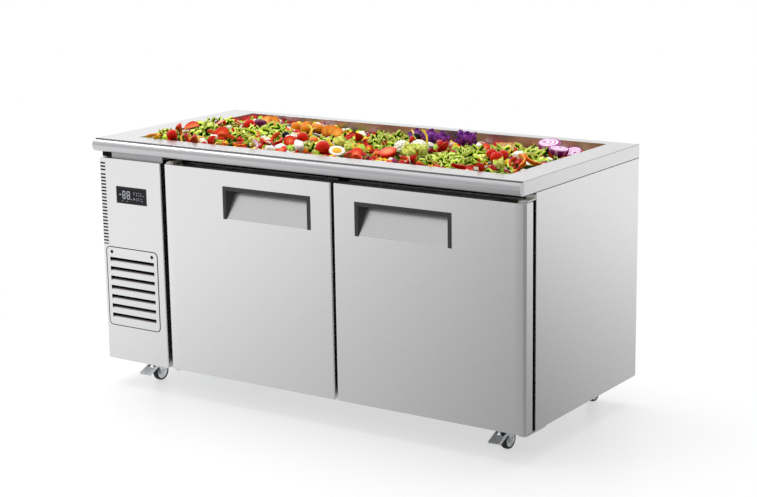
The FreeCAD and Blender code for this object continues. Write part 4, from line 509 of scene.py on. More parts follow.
# Display
def display_marks():
    """Seven-segment digits, small marks and a narrow frame, laid out on the window's 120 by 52 grid."""
    low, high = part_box("display_window")
    wide, tall, seat = 120, 52, 0.2 * MM
    across, up = (high.x - low.x) / wide, (high.z - low.z) / tall

    def bars(name, finish, slot, proud, rows):
        shapes = [boxed((low.x + x * across, low.y - proud * MM, low.z + z * up),
                        (low.x + (x + w) * across, low.y + seat, low.z + (z + t) * up))
                  for x, z, w, t in rows]
        piece(mesh_object(name, *together(shapes), finish), "cabinet", slot)

    segments = {"a": (2.5, 22.6, 8, 3.4), "b": (9.6, 13.5, 3.4, 10.5), "c": (9.6, 2.2, 3.4, 10.5),
                "d": (2.5, 0, 8, 3.4), "e": (0, 2.2, 3.4, 10.5), "f": (0, 13.5, 3.4, 10.5),
                "g": (2.5, 11.3, 8, 3.4)}
    foot, edge = 14, 3.0
    digits = [(start + segments[s][0], foot + segments[s][1], *segments[s][2:])
              for start, lit in ((9, "g"), (24, "abcdefg"), (42, "abcdefg")) for s in lit]
    bars("display_digits", SEGMENTS, None, 0.15, digits + [(58, foot, 3, 3)])
    marks = [(68, 36, 9, 2.2), (68, 30, 6, 2.2), (81, 28, 2.2, 11), (87, 36, 7, 2.2), (87, 28, 7, 2.2),
             (98, 28, 2.2, 11), (103, 28, 8, 2.2), (68, 14, 7, 6), (80, 12, 2.2, 10), (86, 14, 7, 2.2),
             (86, 19, 7, 2.2), (98, 12, 9, 2.2), (98, 19, 6, 2.2), (20, 7, 8, 1.8), (38, 7, 8, 1.8)]
    bars("display_marks", MARKS, None, 0.12, marks)
    rim = [(0, 0, wide, edge), (0, tall - edge, wide, edge), (0, edge, edge, tall - 2 * edge),
           (wide - edge, edge, edge, tall - 2 * edge)]
    bars("display_frame", BLACK_ABS, "display_plastic", 0.5, rim)


# Grille
def grille_front():
    """The flat front's own corners: lowest and highest point of the grille's face."""
    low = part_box("louvre_grille")[0]
    face = [v.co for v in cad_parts["louvre_grille"].data.vertices if v.co.y < low.y + 0.2 * MM]
    return [Vector([pick(p[i] for p in face) for i in range(3)]) for pick in (min, max)]


def grille_edging():
    """A thin rubber edging in the gap round the grille, black as painted shade for the shadow in the gap.
    """
    low, high = grille_front()
    gap, lap, corner = 1.6 * MM, 0.5 * MM, 13 * MM
    front, back = low.y - 0.3 * MM, low.y + 3 * MM
    section = ((-lap, front), (gap + lap, front), (gap + lap, back), (-lap, back))
    verts = []
    for grow, y in section:
        loop = rounded_loop(low.x - grow, high.x + grow, low.z - grow, high.z + grow, corner + grow)
        verts += [(x, y, z) for x, z in loop]
    faces = bands(len(section), len(loop), closed=True)
    piece(mesh_object("grille_edging", verts, faces, GASKET_VINYL), "cabinet", None)


def louvre_painted_shade():
    """Paints shade on the louvres' steel: darker towards the deep end of their pockets, brown-black at the
    back.
    """
    face, unshaded, deep = grille_front()[0].y, 2 * MM, 10 * MM
    tree, shader = workings(LOUVRE_STEEL)
    place = add(tree, "ShaderNodeTexCoord")
    across = add(tree, "ShaderNodeSeparateXYZ", {"Vector": place.outputs["Object"]})
    depth = add(tree, "ShaderNodeMapRange", {"Value": across.outputs["Y"], "From Min": face + unshaded,
                                             "From Max": face + deep})
    # Painted shade: steel colour at the front of a pocket, brown-black at its back.
    add(tree, "ShaderNodeValToRGB", {"Fac": depth}, feeds=shader.inputs["Base Color"],
        stops=[(0.0, "#E6E6E7"), (0.2, "#8A7F7E"), (0.6, "#171212")])


def grille_screws():
    """Domed heads with a cross recess in place of the plain heads."""
    low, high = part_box("grille_screws")
    middle, z = (low.x + high.x) / 2, (low.z + high.z) / 2
    points = [v.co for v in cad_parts["grille_screws"].data.vertices]
    head, height, stem, length = 5.6 * MM, 2.4 * MM, 1.8 * MM, 9 * MM
    arm, slot, sunk, seat = 2.2 * MM, 0.5 * MM, 0.5 * MM, 2.5 * MM
    profile = [(0, -length), (stem, -length), (stem, 0)]
    for angle in range(0, 91, 15):
        profile.append((head * math.cos(math.radians(angle)), height * math.sin(math.radians(angle))))
    shapes, crosses = [], []
    for own in ([p.x for p in points if p.x < middle], [p.x for p in points if p.x > middle]):
        x = (min(own) + max(own)) / 2
        shapes.append(lathed(profile, (x, low.y + seat, z), (0, -1, 0), 24))
        for half_x, half_z, proud in ((arm, slot, 0.02 * MM), (slot, arm, 0.03 * MM)):
            crosses.append(boxed((x - half_x, low.y - proud, z - half_z),
                                 (x + half_x, low.y + sunk, z + half_z)))
    heads = mesh_object("grille_screw_heads", *together(shapes), BLACK_STEEL, 50)
    piece(heads, "cabinet", "screw_steel", "grille_screws")
    piece(mesh_object("grille_screw_recesses", *together(crosses), BLACK_ABS), "cabinet", None)


# Castors
def castor_wheel(place):
    """Wheel with a crowned rubber tread, a hub disc and a bearing boss."""
    node = f"{place}_castor_wheel"
    low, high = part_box(node)
    centre = (low + high) / 2
    half, radius = (high.x - low.x) / 2, (high.z - low.z) / 2
    bore = min(math.hypot(v.co.y - centre.y, v.co.z - centre.z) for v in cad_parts[node].data.vertices)
    side = [(bore, half)]
    for out, along in ((0.30, 1), (0.34, 0.6), (0.78, 0.7), (0.79, 0.8), (0.82, 0.95), (0.9, 0.95),
                       (0.95, 0.8), (0.99, 0.45), (1, 0)):
        side.append((radius * out, half * along))
    profile = side + [(r, -along) for r, along in side[-2::-1]]
    made = mesh_object(f"{node}_finished", *lathed(profile, centre, (1, 0, 0), 40), TREAD)
    made.data.materials.append(ZINC)
    hub = radius * 0.785
    for face in made.data.polygons:
        if math.hypot(face.center.y - centre.y, face.center.z - centre.z) < hub:
            face.material_index = 1
    piece(made, f"{place}_wheel", "castor_rubber", node)


# Shelves
def wire_row_tree():
    """Geometry nodes that lay a row of round wires, all alike, at a regular step."""
    tree, given = maker_tree("wire_row", {"Count": "Int", "First": "Vector", "Step": "Vector",
                                          "Run": "Vector", "Radius": "Float", "Finish": "Material"})
    places = add(tree, "GeometryNodeMeshLine", {"Count": given["Count"], "Start Location": given["First"],
                                                "Offset": given["Step"]})
    wire = add(tree, "GeometryNodeCurvePrimitiveLine", {"End": given["Run"]})
    section = add(tree, "GeometryNodeCurvePrimitiveCircle", {"Resolution": 10, "Radius": given["Radius"]})
    solid = add(tree, "GeometryNodeCurveToMesh", {"Curve": wire, "Profile Curve": section,
                                                  "Fill Caps": True})
    row = add(tree, "GeometryNodeInstanceOnPoints", {"Points": places, "Instance": solid})
    return end_tree(tree, row, given["Finish"])


def wire_shelves():
    """Two shelves of round wires on round cross rods."""
    low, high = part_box("wire_shelves")
    middle = (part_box("left_door_skin")[0].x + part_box("right_door_skin")[1].x) / 2
    tree = wire_row_tree()
    rod, wire, pitch, gap = 6 * MM, 4 * MM, 36 * MM, 2.5 * MM
    count = int((high.y - low.y - wire) / pitch) + 1
    first = (low.y + high.y - (count - 1) * pitch) / 2
    bm = bmesh.new()
    for x0, x1 in ((low.x, middle - gap), (middle + gap, high.x)):
        rods = {"Count": 3, "First": (x0 + rod / 2, low.y, low.z + rod / 2), "Radius": rod / 2,
                "Step": ((x1 - x0 - rod) / 2, 0, 0), "Run": (0, high.y - low.y, 0), "Finish": PLATED}
        wires = {"Count": count, "First": (x0, first, high.z - wire / 2), "Radius": wire / 2,
                 "Step": (0, pitch, 0), "Run": (x1 - x0, 0, 0), "Finish": PLATED}
        for row in (rods, wires):
            bm.from_mesh(grown(bpy.data.meshes.new("row"), tree, row))
    mesh = bpy.data.meshes.new("wire_shelves_finished")
    bmesh.ops.recalc_face_normals(bm, faces=bm.faces)
    bm.to_mesh(mesh)
    bm.free()
    mesh.shade_smooth()
    mesh.set_sharp_from_angle(angle=math.radians(50))
    mesh.materials.append(PLATED)
    piece(linked_object("wire_shelves_finished", mesh), "cabinet", "shelf_wire", "wire_shelves")


front_nosing()
worktop()
joint_sealant_painted_shade()
for side in DOORS:
    dressed(f"{side}_door_skin", f"{side}_door", "stainless_outer", 0.8 * MM)
    dressed(f"{side}_handle_trim", f"{side}_door", "handle_plastic", 0.8 * MM)
    door_gasket(side)
breaker_strips()
for side in DOORS:
    door_end_cap(side)
for name in ("service_panel", "louvre_grille", "fascia_strip", "right_side_panel", "left_side_panel"):
    dressed(name, "cabinet", "stainless_outer", 0.4 * MM)
display_marks()
grille_edging()
louvre_painted_shade()
grille_screws()
dressed("hinge_brackets", "cabinet", "hinge_steel", 0.5 * MM)
dressed("castor_plates", "cabinet", "zinc", 0.5 * MM)
for place in CASTORS:
    castor_wheel(place)
    dressed(f"{place}_castor_fork", f"{place}_swivel", "zinc", 0.5 * MM)
for place in CASTORS[:2]:
    dressed(f"{place}_brake_pedal", f"{place}_pedal", "zinc", 0.5 * MM)
for number, pan in enumerate(PANS, 1):
    dressed(pan, f"pan_{number}", "stainless_pan", 0.3 * MM)
wire_shelves()


# Salad in the pans: places and sizes are in millimetres on the counter.
RIM = TOP_HIGH.z / MM
HIGHEST = 28  # nothing stands higher than this above the rim
noise.seed_set(3)  # unseeded, noise_vector starts from the clock and differs from run to run
CLUMPS = (  # leafy heaps: x, y, radius, height
    (-610, -175, 40, 6), (-535, -65, 62, 12), (-390, -72, 58, 12), (-355, 55, 66, 12), (-560, 60, 45, 8),
    (-420, 20, 40, 8), (-590, 10, 40, 8), (-290, -20, 45, 8), (-85, -110, 48, 10), (-150, 20, 40, 4),
    (60, 65, 82, 16), (85, -135, 36, 6), (255, -95, 42, 6), (375, -115, 64, 12), (440, -55, 66, 14),
    (380, 20, 48, 6), (470, 30, 40, 6), (525, 92, 62, 12), (600, 35, 40, 6), (595, -185, 42, 4),
    (430, -170, 42, 4),
)
FRINGE = {"shade": 0.52, "leaf": 1.0, "leaves": 0.0, "bits": 0.0}  # leaves that hang over the edge of a pan


def share(value):
    """A number kept between 0 and 1."""
    return min(max(value, 0.0), 1.0)


def swell(x, y, at_x, at_y, reach):
    """1 at a place, falling smoothly to 0 past its reach."""
    return math.exp(-((x - at_x) ** 2 + (y - at_y) ** 2) / reach ** 2)


def heap(x, y):
    """Height of the salad: level with the rim in front, higher at the left, lower at the back right."""
    below, rise, fall, more_fall, bump, bump_size = 10, 6, 6, 24, 6, 45
    left, right = share((-430 - x) / 100), share((x + 300) / 200)
    back = max(y - 110, 0.0) / 190
    z = RIM - below + rise * left - back * (fall + more_fall * right)
    for at_x, at_y, radius, height in CLUMPS:
        z += height * swell(x, y, at_x, at_y, 0.75 * radius)
    return z + bump * noise.noise(Vector((x, y, 0)) / bump_size)


def leafiness(x, y):
    """How much of the salad is leaf at a place, from 0 to 1."""
    return share(sum(1.3 * swell(x, y, at_x, at_y, 0.85 * radius) for at_x, at_y, radius, _ in CLUMPS))


def frizz(x, y):
    """Curly ridges of lettuce: 0 in the gaps and 1 on the frilled edges."""
    bend, bend_size, coarse_size, fine_size, steep = 9, 30, 20, 11, 2.4
    at = Vector((x, y, 0))
    bent = at + bend * noise.noise_vector(at / bend_size)
    coarse = max(0.0, 1 - steep * abs(noise.noise(bent / coarse_size)))
    fine = max(0.0, 1 - steep * abs(noise.noise(bent / fine_size + Vector((7, 3, 1)))))
    return 0.65 * coarse + 0.35 * fine


def clearance(x, y):
    """1 away from the larger pieces and 0 under them."""
    clear = 1.0
    for _, at_x, at_y, _, size, _, _ in HEROES:
        if abs(x - at_x) < size and abs(y - at_y) < size:
            clear *= 1 - swell(x, y, at_x, at_y, 0.42 * size)
    return clear


def toned(tree, attribute, stops, feeds=None, interpolation="LINEAR"):
    """Colours that run over a number stored on the shape."""
    stored = add(tree, "ShaderNodeAttribute", attribute_name=attribute)
    tone = add(tree, "ShaderNodeValToRGB", {"Fac": stored.outputs["Fac"]}, stops, feeds)
    tone.color_ramp.interpolation = interpolation
    return tone


def food(name, stops, roughness):
    """A material whose colour runs over a shape's own shade: from skin to flesh, from rib to edge, or from
    a lump's underside to its top, which is painted light.
    """
    made = material(name, stops[0][1], specular=0.2, Roughness=roughness)
    tree, shader = workings(made)
    toned(tree, "shade", stops, shader.inputs["Base Color"])
    return made


def curly_lettuce():
    """Curly lettuce: dark green ribs, near black at their foot as painted shade, and pale lime edges,
    partly their own colour and partly painted light; lighter or darker from leaf to leaf.
    """
    made = material("curly_lettuce", "#0C1D04", specular=0.0, Roughness=0.4)
    tree, shader = workings(made)
    tint = add(tree, "ShaderNodeAttribute", attribute_name="tint")
    # Painted shade at the foot of each frill, near black, and painted light on the pale tops.
    tone = toned(tree, "shade", [(0.2, "#0C1D04"), (0.42, "#2F7208"), (0.52, "#B2E01C"), (0.68, "#ECFA58"),
                                 (0.92, "#FCFFB0")])
    value = add(tree, "ShaderNodeMapRange", {"Value": tint.outputs["Fac"], "To Min": 0.7, "To Max": 1.2})
    add(tree, "ShaderNodeHueSaturation", {"Color": tone, "Value": value}, feeds=shader.inputs["Base Color"])
    return made


def heaped_lettuce():
    """Curly lettuce in a heap: pale frilled edges, partly painted light, over near-black gaps of painted
    shade, and a dark green painted shade under other food.
    """
    made = material("heaped_curly_lettuce", "#86BC1E", specular=0.0, Roughness=0.45)
    tree, shader = workings(made)
    leaf = add(tree, "ShaderNodeAttribute", attribute_name="leaf")
    # Near black in the gaps between the curls as painted shade, pale on the ridges as partly painted light.
    tone = toned(tree, "shade", [(0.3, "#0B1A03"), (0.45, "#3E8A0A"), (0.55, "#A8D822"), (0.7, "#E8F85C"),
                                 (0.9, "#FBFFB4")])
    # Where the bed is not leaf, under the larger pieces and between chopped ones, it is painted dark green:
    # painted shade.
    mixed = add(tree, "ShaderNodeMix", {"Factor": leaf.outputs["Fac"], MIX_FROM: linear("#1A2609"),
                                        MIX_TO: tone}, data_type="RGBA")
    tree.links.new(mixed.outputs[MIX_OUT], shader.inputs["Base Color"])
    return made


def chopped_vegetables():
    """Chopped vegetables: each piece has one plain colour, by its own stored number."""
    made = material("chopped_vegetables", "#C81A06", specular=0.3, Roughness=0.3)
    tree, shader = workings(made)
    toned(tree, "tint", [(0.0, "#C81A06"), (0.3, "#EE7012"), (0.42, "#F2C81C"), (0.56, "#F4F0E0"),
                         (0.74, "#A9D23C"), (0.94, "#9A2468")], shader.inputs["Base Color"], "CONSTANT")
    return made


# Shapes of the food: each gives vertices, faces and every vertex's shade.
def thin_leaf(length, width, curl, ruffle, waves, rows, cols, thick):
    """A closed thin leaf that curls up from its stem, with waved edges; shade runs from rib to edge."""
    top, bottom, shades = [], [], []
    for i in range(rows):
        t = i / (rows - 1)
        bend = curl * t
        middle = Vector((0, math.sin(bend), 1 - math.cos(bend))) * length / curl
        up = Vector((0, -math.sin(bend), math.cos(bend)))
        half = width / 2 * max(0.2, math.sin(math.pi * (0.12 + 0.8 * t)))
        for j in range(cols):
            s = -1 + 2 * j / (cols - 1)
            wave = math.sin(2 * math.pi * waves * t + (2.0 if s > 0 else 0.0))
            lift = ruffle * abs(s) ** 1.3 * wave + 0.12 * width * s * s
            at = middle + Vector((half * s, 0, 0)) + up * lift
            top.append(at)
            bottom.append(at - up * thick)
            shades.append(max(abs(s), t * t))
    count = rows * cols
    faces = []
    for i in range(rows - 1):
        for j in range(cols - 1):
            a, b = i * cols + j, (i + 1) * cols + j
            faces += [(a, a + 1, b + 1, b), (count + a, count + b, count + b + 1, count + a + 1)]
    rim = grid_rim(rows, cols)
    for a, b in zip(rim, rim[1:] + rim[:1]):
        faces.append((a, b, count + b, count + a))
    return top + bottom, faces, shades * 2


def leaf_tuft(size):
    """A few crumpled leaves that lie round one another."""
    leaves = 7
    shapes, shades = [], []
    for i in range(leaves):
        verts, faces, tones = thin_leaf(length=0.58 * size, width=0.5 * size, curl=1.5, ruffle=0.1 * size,
                                        waves=2.2, rows=9, cols=7, thick=0.02 * size)
        tilt = math.radians(14 * (i % 3) - 16)
        pose = (Matrix.Rotation(GOLDEN_ANGLE * i, 4, "Z")
                @ Matrix.Translation((0, -0.1 * size, 0.03 * size * i)) @ Matrix.Rotation(tilt, 4, "X"))
        shapes.append(([pose @ v for v in verts], faces))
        shades += tones
    return *together(shapes), shades


def curly_frill(length, height, sway, waves, steps, thick):
    """A ruffled lettuce edge that stands on its rib; shade runs from the rib to the edge."""
    verts = []
    side = Vector((0, thick, 0))
    for i in range(steps + 1):
        t = i / steps
        swing = sway * math.sin(2 * math.pi * waves * t)
        bend = 0.2 * length * (2 * t - 1) ** 2
        rib = Vector((length * (t - 0.5), bend + 0.2 * swing, 0))
        tall = height * (0.55 + 0.35 * math.sin(math.pi * t) + 0.25 * math.sin(2 * math.pi * waves * t + 1))
        edge = Vector((1.2 * length * (t - 0.5), bend + swing, tall))
        verts += [rib - side, rib + side, edge + 0.4 * side, edge - 0.4 * side]
    ends = [(0, 1, 2, 3), tuple(4 * steps + k for k in (3, 2, 1, 0))]
    return verts, ends + bands(steps + 1, 4), [0.0, 0.0, 1.0, 1.0] * (steps + 1)


def turned(rows, segments=20):
    """A shape turned from (radius, height, shade) rows."""
    verts, faces = lathed([row[:2] for row in rows], segments=segments)
    return verts, faces, [row[2] for row in rows] * segments


def halved(radius, depth, cut):
    """Rows of a halved fruit: its round underside, then the cut face's rows as shares of its radius."""
    angles = [math.pi * i / 14 for i in range(8)]
    under = [(radius * math.sin(a), -depth * radius * math.cos(a), 0.0) for a in angles]
    return under + [(out * radius, up * radius, tone) for out, up, tone in cut]


def tomato(size):
    """A whole round fruit with a dimple at the stem."""
    radius, steps = size / 2, 12
    rows = []
    for i in range(steps + 1):
        angle = math.pi * i / steps
        r = radius * math.sin(angle)
        dimple = 0.3 * radius * max(0.0, 1 - r / (0.4 * radius)) ** 2 if i > steps / 2 else 0.0
        rows.append((r, -0.9 * radius * math.cos(angle) - dimple, 1.0 if i == steps else 0.0))
    return turned(rows)


def half_fruit(size):
    """Half a round fruit, cut face up, with a pale core."""
    cut = ((0.92, 0.04, 0.3), (0.6, 0.05, 0.7), (0.25, 0.05, 1.0), (0, 0.05, 1.0))
    return turned(halved(size / 2, 0.95, cut))


def wedge(size):
    """A wedge of tomato: skin outside and two cut faces."""
    radius, spread, rows, cols, flesh = size / 2, math.radians(70), 9, 6, 0.75
    verts, shades = [], []
    turns = [-spread / 2 + spread * j / (cols - 1) for j in range(cols)]
    for i in range(rows):
        polar = math.pi * (0.04 + 0.92 * i / (rows - 1))
        z, r = -1.15 * radius * math.cos(polar), radius * math.sin(polar)
        ring = [(r * math.cos(a), r * math.sin(a), z, 0.0) for a in turns]
        ring.append((flesh * r * math.cos(turns[-1]), flesh * r * math.sin(turns[-1]), z, 0.7))
        ring.append((0.0, 0.0, 0.96 * z, 1.0))
        ring.append((flesh * r * math.cos(turns[0]), flesh * r * math.sin(turns[0]), z, 0.7))
        verts += [Vector(p[:3]) - Vector((0.5 * radius, 0, 0)) for p in ring]
        shades += [p[3] for p in ring]
    return verts, capped_bands(rows, len(ring)), shades


def round_slice(size):
    """A round slice with a skin round its edge."""
    radius, half = size / 2, size * 0.07
    return turned([(0, -half, 0.1), (0.85 * radius, -half, 0.8), (radius, -0.6 * half, 1.0),
                   (radius, 0.6 * half, 1.0), (0.93 * radius, half, 0.9), (0.5 * radius, 0.8 * half, 0.45),
                   (0, 0.8 * half, 0.0)])


def strip(size):
    """A bent strip of pepper or carrot: skin outside, flesh inside."""
    radius, steps = 0.55 * size, 8
    section = [(-0.03, -0.09, 0.9), (0.04, -0.10, 0.0), (0.055, 0.0, 0.0), (0.04, 0.10, 0.0),
               (-0.03, 0.09, 0.9), (-0.04, 0.0, 1.0)]
    verts = []
    for i in range(steps + 1):
        angle = math.radians(-55 + 110 * i / steps)
        narrow = 1.0 if 0 < i < steps else 0.6
        for out, side, _ in section:
            r = radius + out * size * narrow
            x = r * math.cos(angle) - 0.8 * radius
            verts.append(Vector((x, r * math.sin(angle), side * size * narrow)))
    return verts, capped_bands(steps + 1, len(section)), [tone for _, _, tone in section] * (steps + 1)


def chunk(size, rows=9, cols=14):
    """An uneven torn or cut lump with rounded corners."""
    verts = []
    for i in range(cols):
        turn = 2 * math.pi * i / cols
        for j in range(rows):
            polar = math.pi * j / (rows - 1)
            around = math.sin(polar)
            at = Vector((around * math.cos(turn), around * math.sin(turn), -math.cos(polar)))
            at = Vector([math.copysign(abs(v) ** 0.6, v) for v in at]) * size * 0.42
            at *= 1 + 0.18 * noise.noise(at / size * 3 + Vector((size, 0, 0)))
            verts.append(Vector((at.x, 0.8 * at.y, 0.7 * at.z)))
    faces = lathed([(0, 0)] * rows, segments=cols)[1]
    # Shade runs from the underside up, so mozzarella and beetroot lumps are painted lighter on top: painted
    # light from above.
    return verts, faces, [j / (rows - 1) for j in range(rows)] * cols


def egg_half(size):
    """Half a boiled egg: white all round and a domed yolk."""
    cut = ((0.94, 0.05, 0.0), (0.62, 0.05, 0.0), (0.60, 0.06, 1.0), (0.42, 0.13, 1.0), (0, 0.18, 1.0))
    verts, faces, shades = turned(halved(size / 2, 0.75, cut), 24)
    return [Vector((v.x, 0.76 * v.y, v.z)) for v in verts], faces, shades


def onion_half(size):
    """Half a red onion, cut face up, with its rings off the middle and paler stripes on its skin."""
    radius, segments, off_centre = size / 2, 28, 0.5
    rings = ((0.98, 1.0), (0.86, 1.0), (0.84, 0.5), (0.72, 0.5), (0.70, 0.8), (0.64, 0.8), (0.62, 0.5),
             (0.48, 0.5), (0.46, 0.8), (0.40, 0.8), (0.38, 0.5), (0.20, 0.5), (0.18, 0.8), (0, 1.0))
    rows = halved(radius, 0.8, [(out, 0.03, tone) for out, tone in rings])
    verts, faces, _ = turned(rows, segments)
    shades = [tone + (0.3 if tone == 0 and i % 4 == 1 else 0)
              for i in range(segments) for _, _, tone in rows]
    shifted = []
    for v in verts:
        shifted.append(Vector((v.x, 0.85 * v.y + off_centre * (radius - v.xy.length) * (v.z > 0), v.z)))
    return shifted, faces, shades


def floret(size):
    """A cauliflower floret: a stem and a head of small round buds."""
    stem = [(0, -0.5 * size), (0.12 * size, -0.5 * size), (0.2 * size, 0), (0, 0.05 * size)]
    shapes = [lathed(stem, segments=10)]
    buds, r, spread = 22, 0.13 * size, 0.4 * size
    bud = [(r * math.sin(a), -r * math.cos(a)) for a in (math.pi * k / 6 for k in range(7))]
    for i in range(buds):
        out = math.sqrt((i + 0.5) / buds)
        angle = i * GOLDEN_ANGLE
        at = (spread * out * math.cos(angle), spread * out * math.sin(angle), 0.28 * size * (1 - out * out))
        shapes.append(lathed(bud, at, segments=9))
    verts, faces = together(shapes)
    return verts, faces, [share((v.z / size + 0.3) / 0.7) for v in verts]


FOODS = {  # name: shape, colours over its shade, roughness
    "tomato": (tomato, [(0.0, "#CC1A06"), (0.8, "#CC1A06"), (1.0, "#6F7F22")], 0.12),
    "half_tomato": (half_fruit, [(0.0, "#C41605"), (0.4, "#E03A14"), (1.0, "#F08A58")], 0.2),
    "tomato_wedge": (wedge, [(0.0, "#C41605"), (0.6, "#E03A14"), (1.0, "#F08A58")], 0.15),
    "tomato_slice": (round_slice, [(0.0, "#F08A58"), (0.5, "#DE3A14"), (1.0, "#BE1404")], 0.2),
    "orange_slice": (round_slice, [(0.0, "#F2B04A"), (0.6, "#E88A1E"), (1.0, "#C2560A")], 0.3),
    "apricot": (tomato, [(0.0, "#DC7E0C"), (0.8, "#DC7E0C"), (1.0, "#8A4A08")], 0.3),
    "yellow_pepper": (strip, [(0.0, "#F0BE08"), (1.0, "#F9E06C")], 0.22),
    "red_pepper": (strip, [(0.0, "#BE1406"), (1.0, "#E04A22")], 0.18),
    "carrot": (strip, [(0.0, "#EC7510"), (1.0, "#F6A64A")], 0.35),
    # Mozzarella and beetroot lumps are painted lighter on top than underneath: painted light.
    "mozzarella": (chunk, [(0.0, "#EFE9D8"), (1.0, "#FFFFFA")], 0.35),
    "egg": (egg_half, [(0.0, "#F8F5EA"), (0.4, "#F8F5EA"), (0.6, "#F3A61C"), (1.0, "#F6B733")], 0.32),
    "olive": (tomato, [(0.0, "#17131A"), (1.0, "#0C0A0D")], 0.2),
    "red_cabbage": (leaf_tuft, [(0.0, "#FFF4FF"), (0.3, "#D9A8E2"), (0.55, "#A64CB8"), (1.0, "#74208A")],
                    0.3),
    "radicchio": (strip, [(0.0, "#9C1F52"), (0.5, "#B9386C"), (1.0, "#F6E2EA")], 0.3),
    "beetroot": (chunk, [(0.0, "#420C28"), (1.0, "#6A1C48")], 0.25),
    "mushroom_slice": (round_slice, [(0.0, "#F3DDB4"), (0.6, "#E9BE82"), (1.0, "#B5672A")], 0.4),
    "endive": (leaf_tuft, [(0.0, "#FFFCE0"), (0.5, "#F8F29A"), (1.0, "#E0EE6A")], 0.38),
    "cauliflower": (floret, [(0.0, "#D8D6A8"), (1.0, "#FBF9EE")], 0.5),
    "red_onion": (onion_half, [(0.0, "#8A1A78"), (0.3, "#D89ACE"), (0.5, "#F4DDF0"), (0.8, "#B04AA0"),
                               (1.0, "#8E1C7A")], 0.3),
}
FOOD_FINISHES = {name: food(f"fresh_{name}", stops, rough) for name, (_, stops, rough) in FOODS.items()}
CURLY = curly_lettuce()
CHOPPED = chopped_vegetables()
HEAPED_LETTUCE = heaped_lettuce()

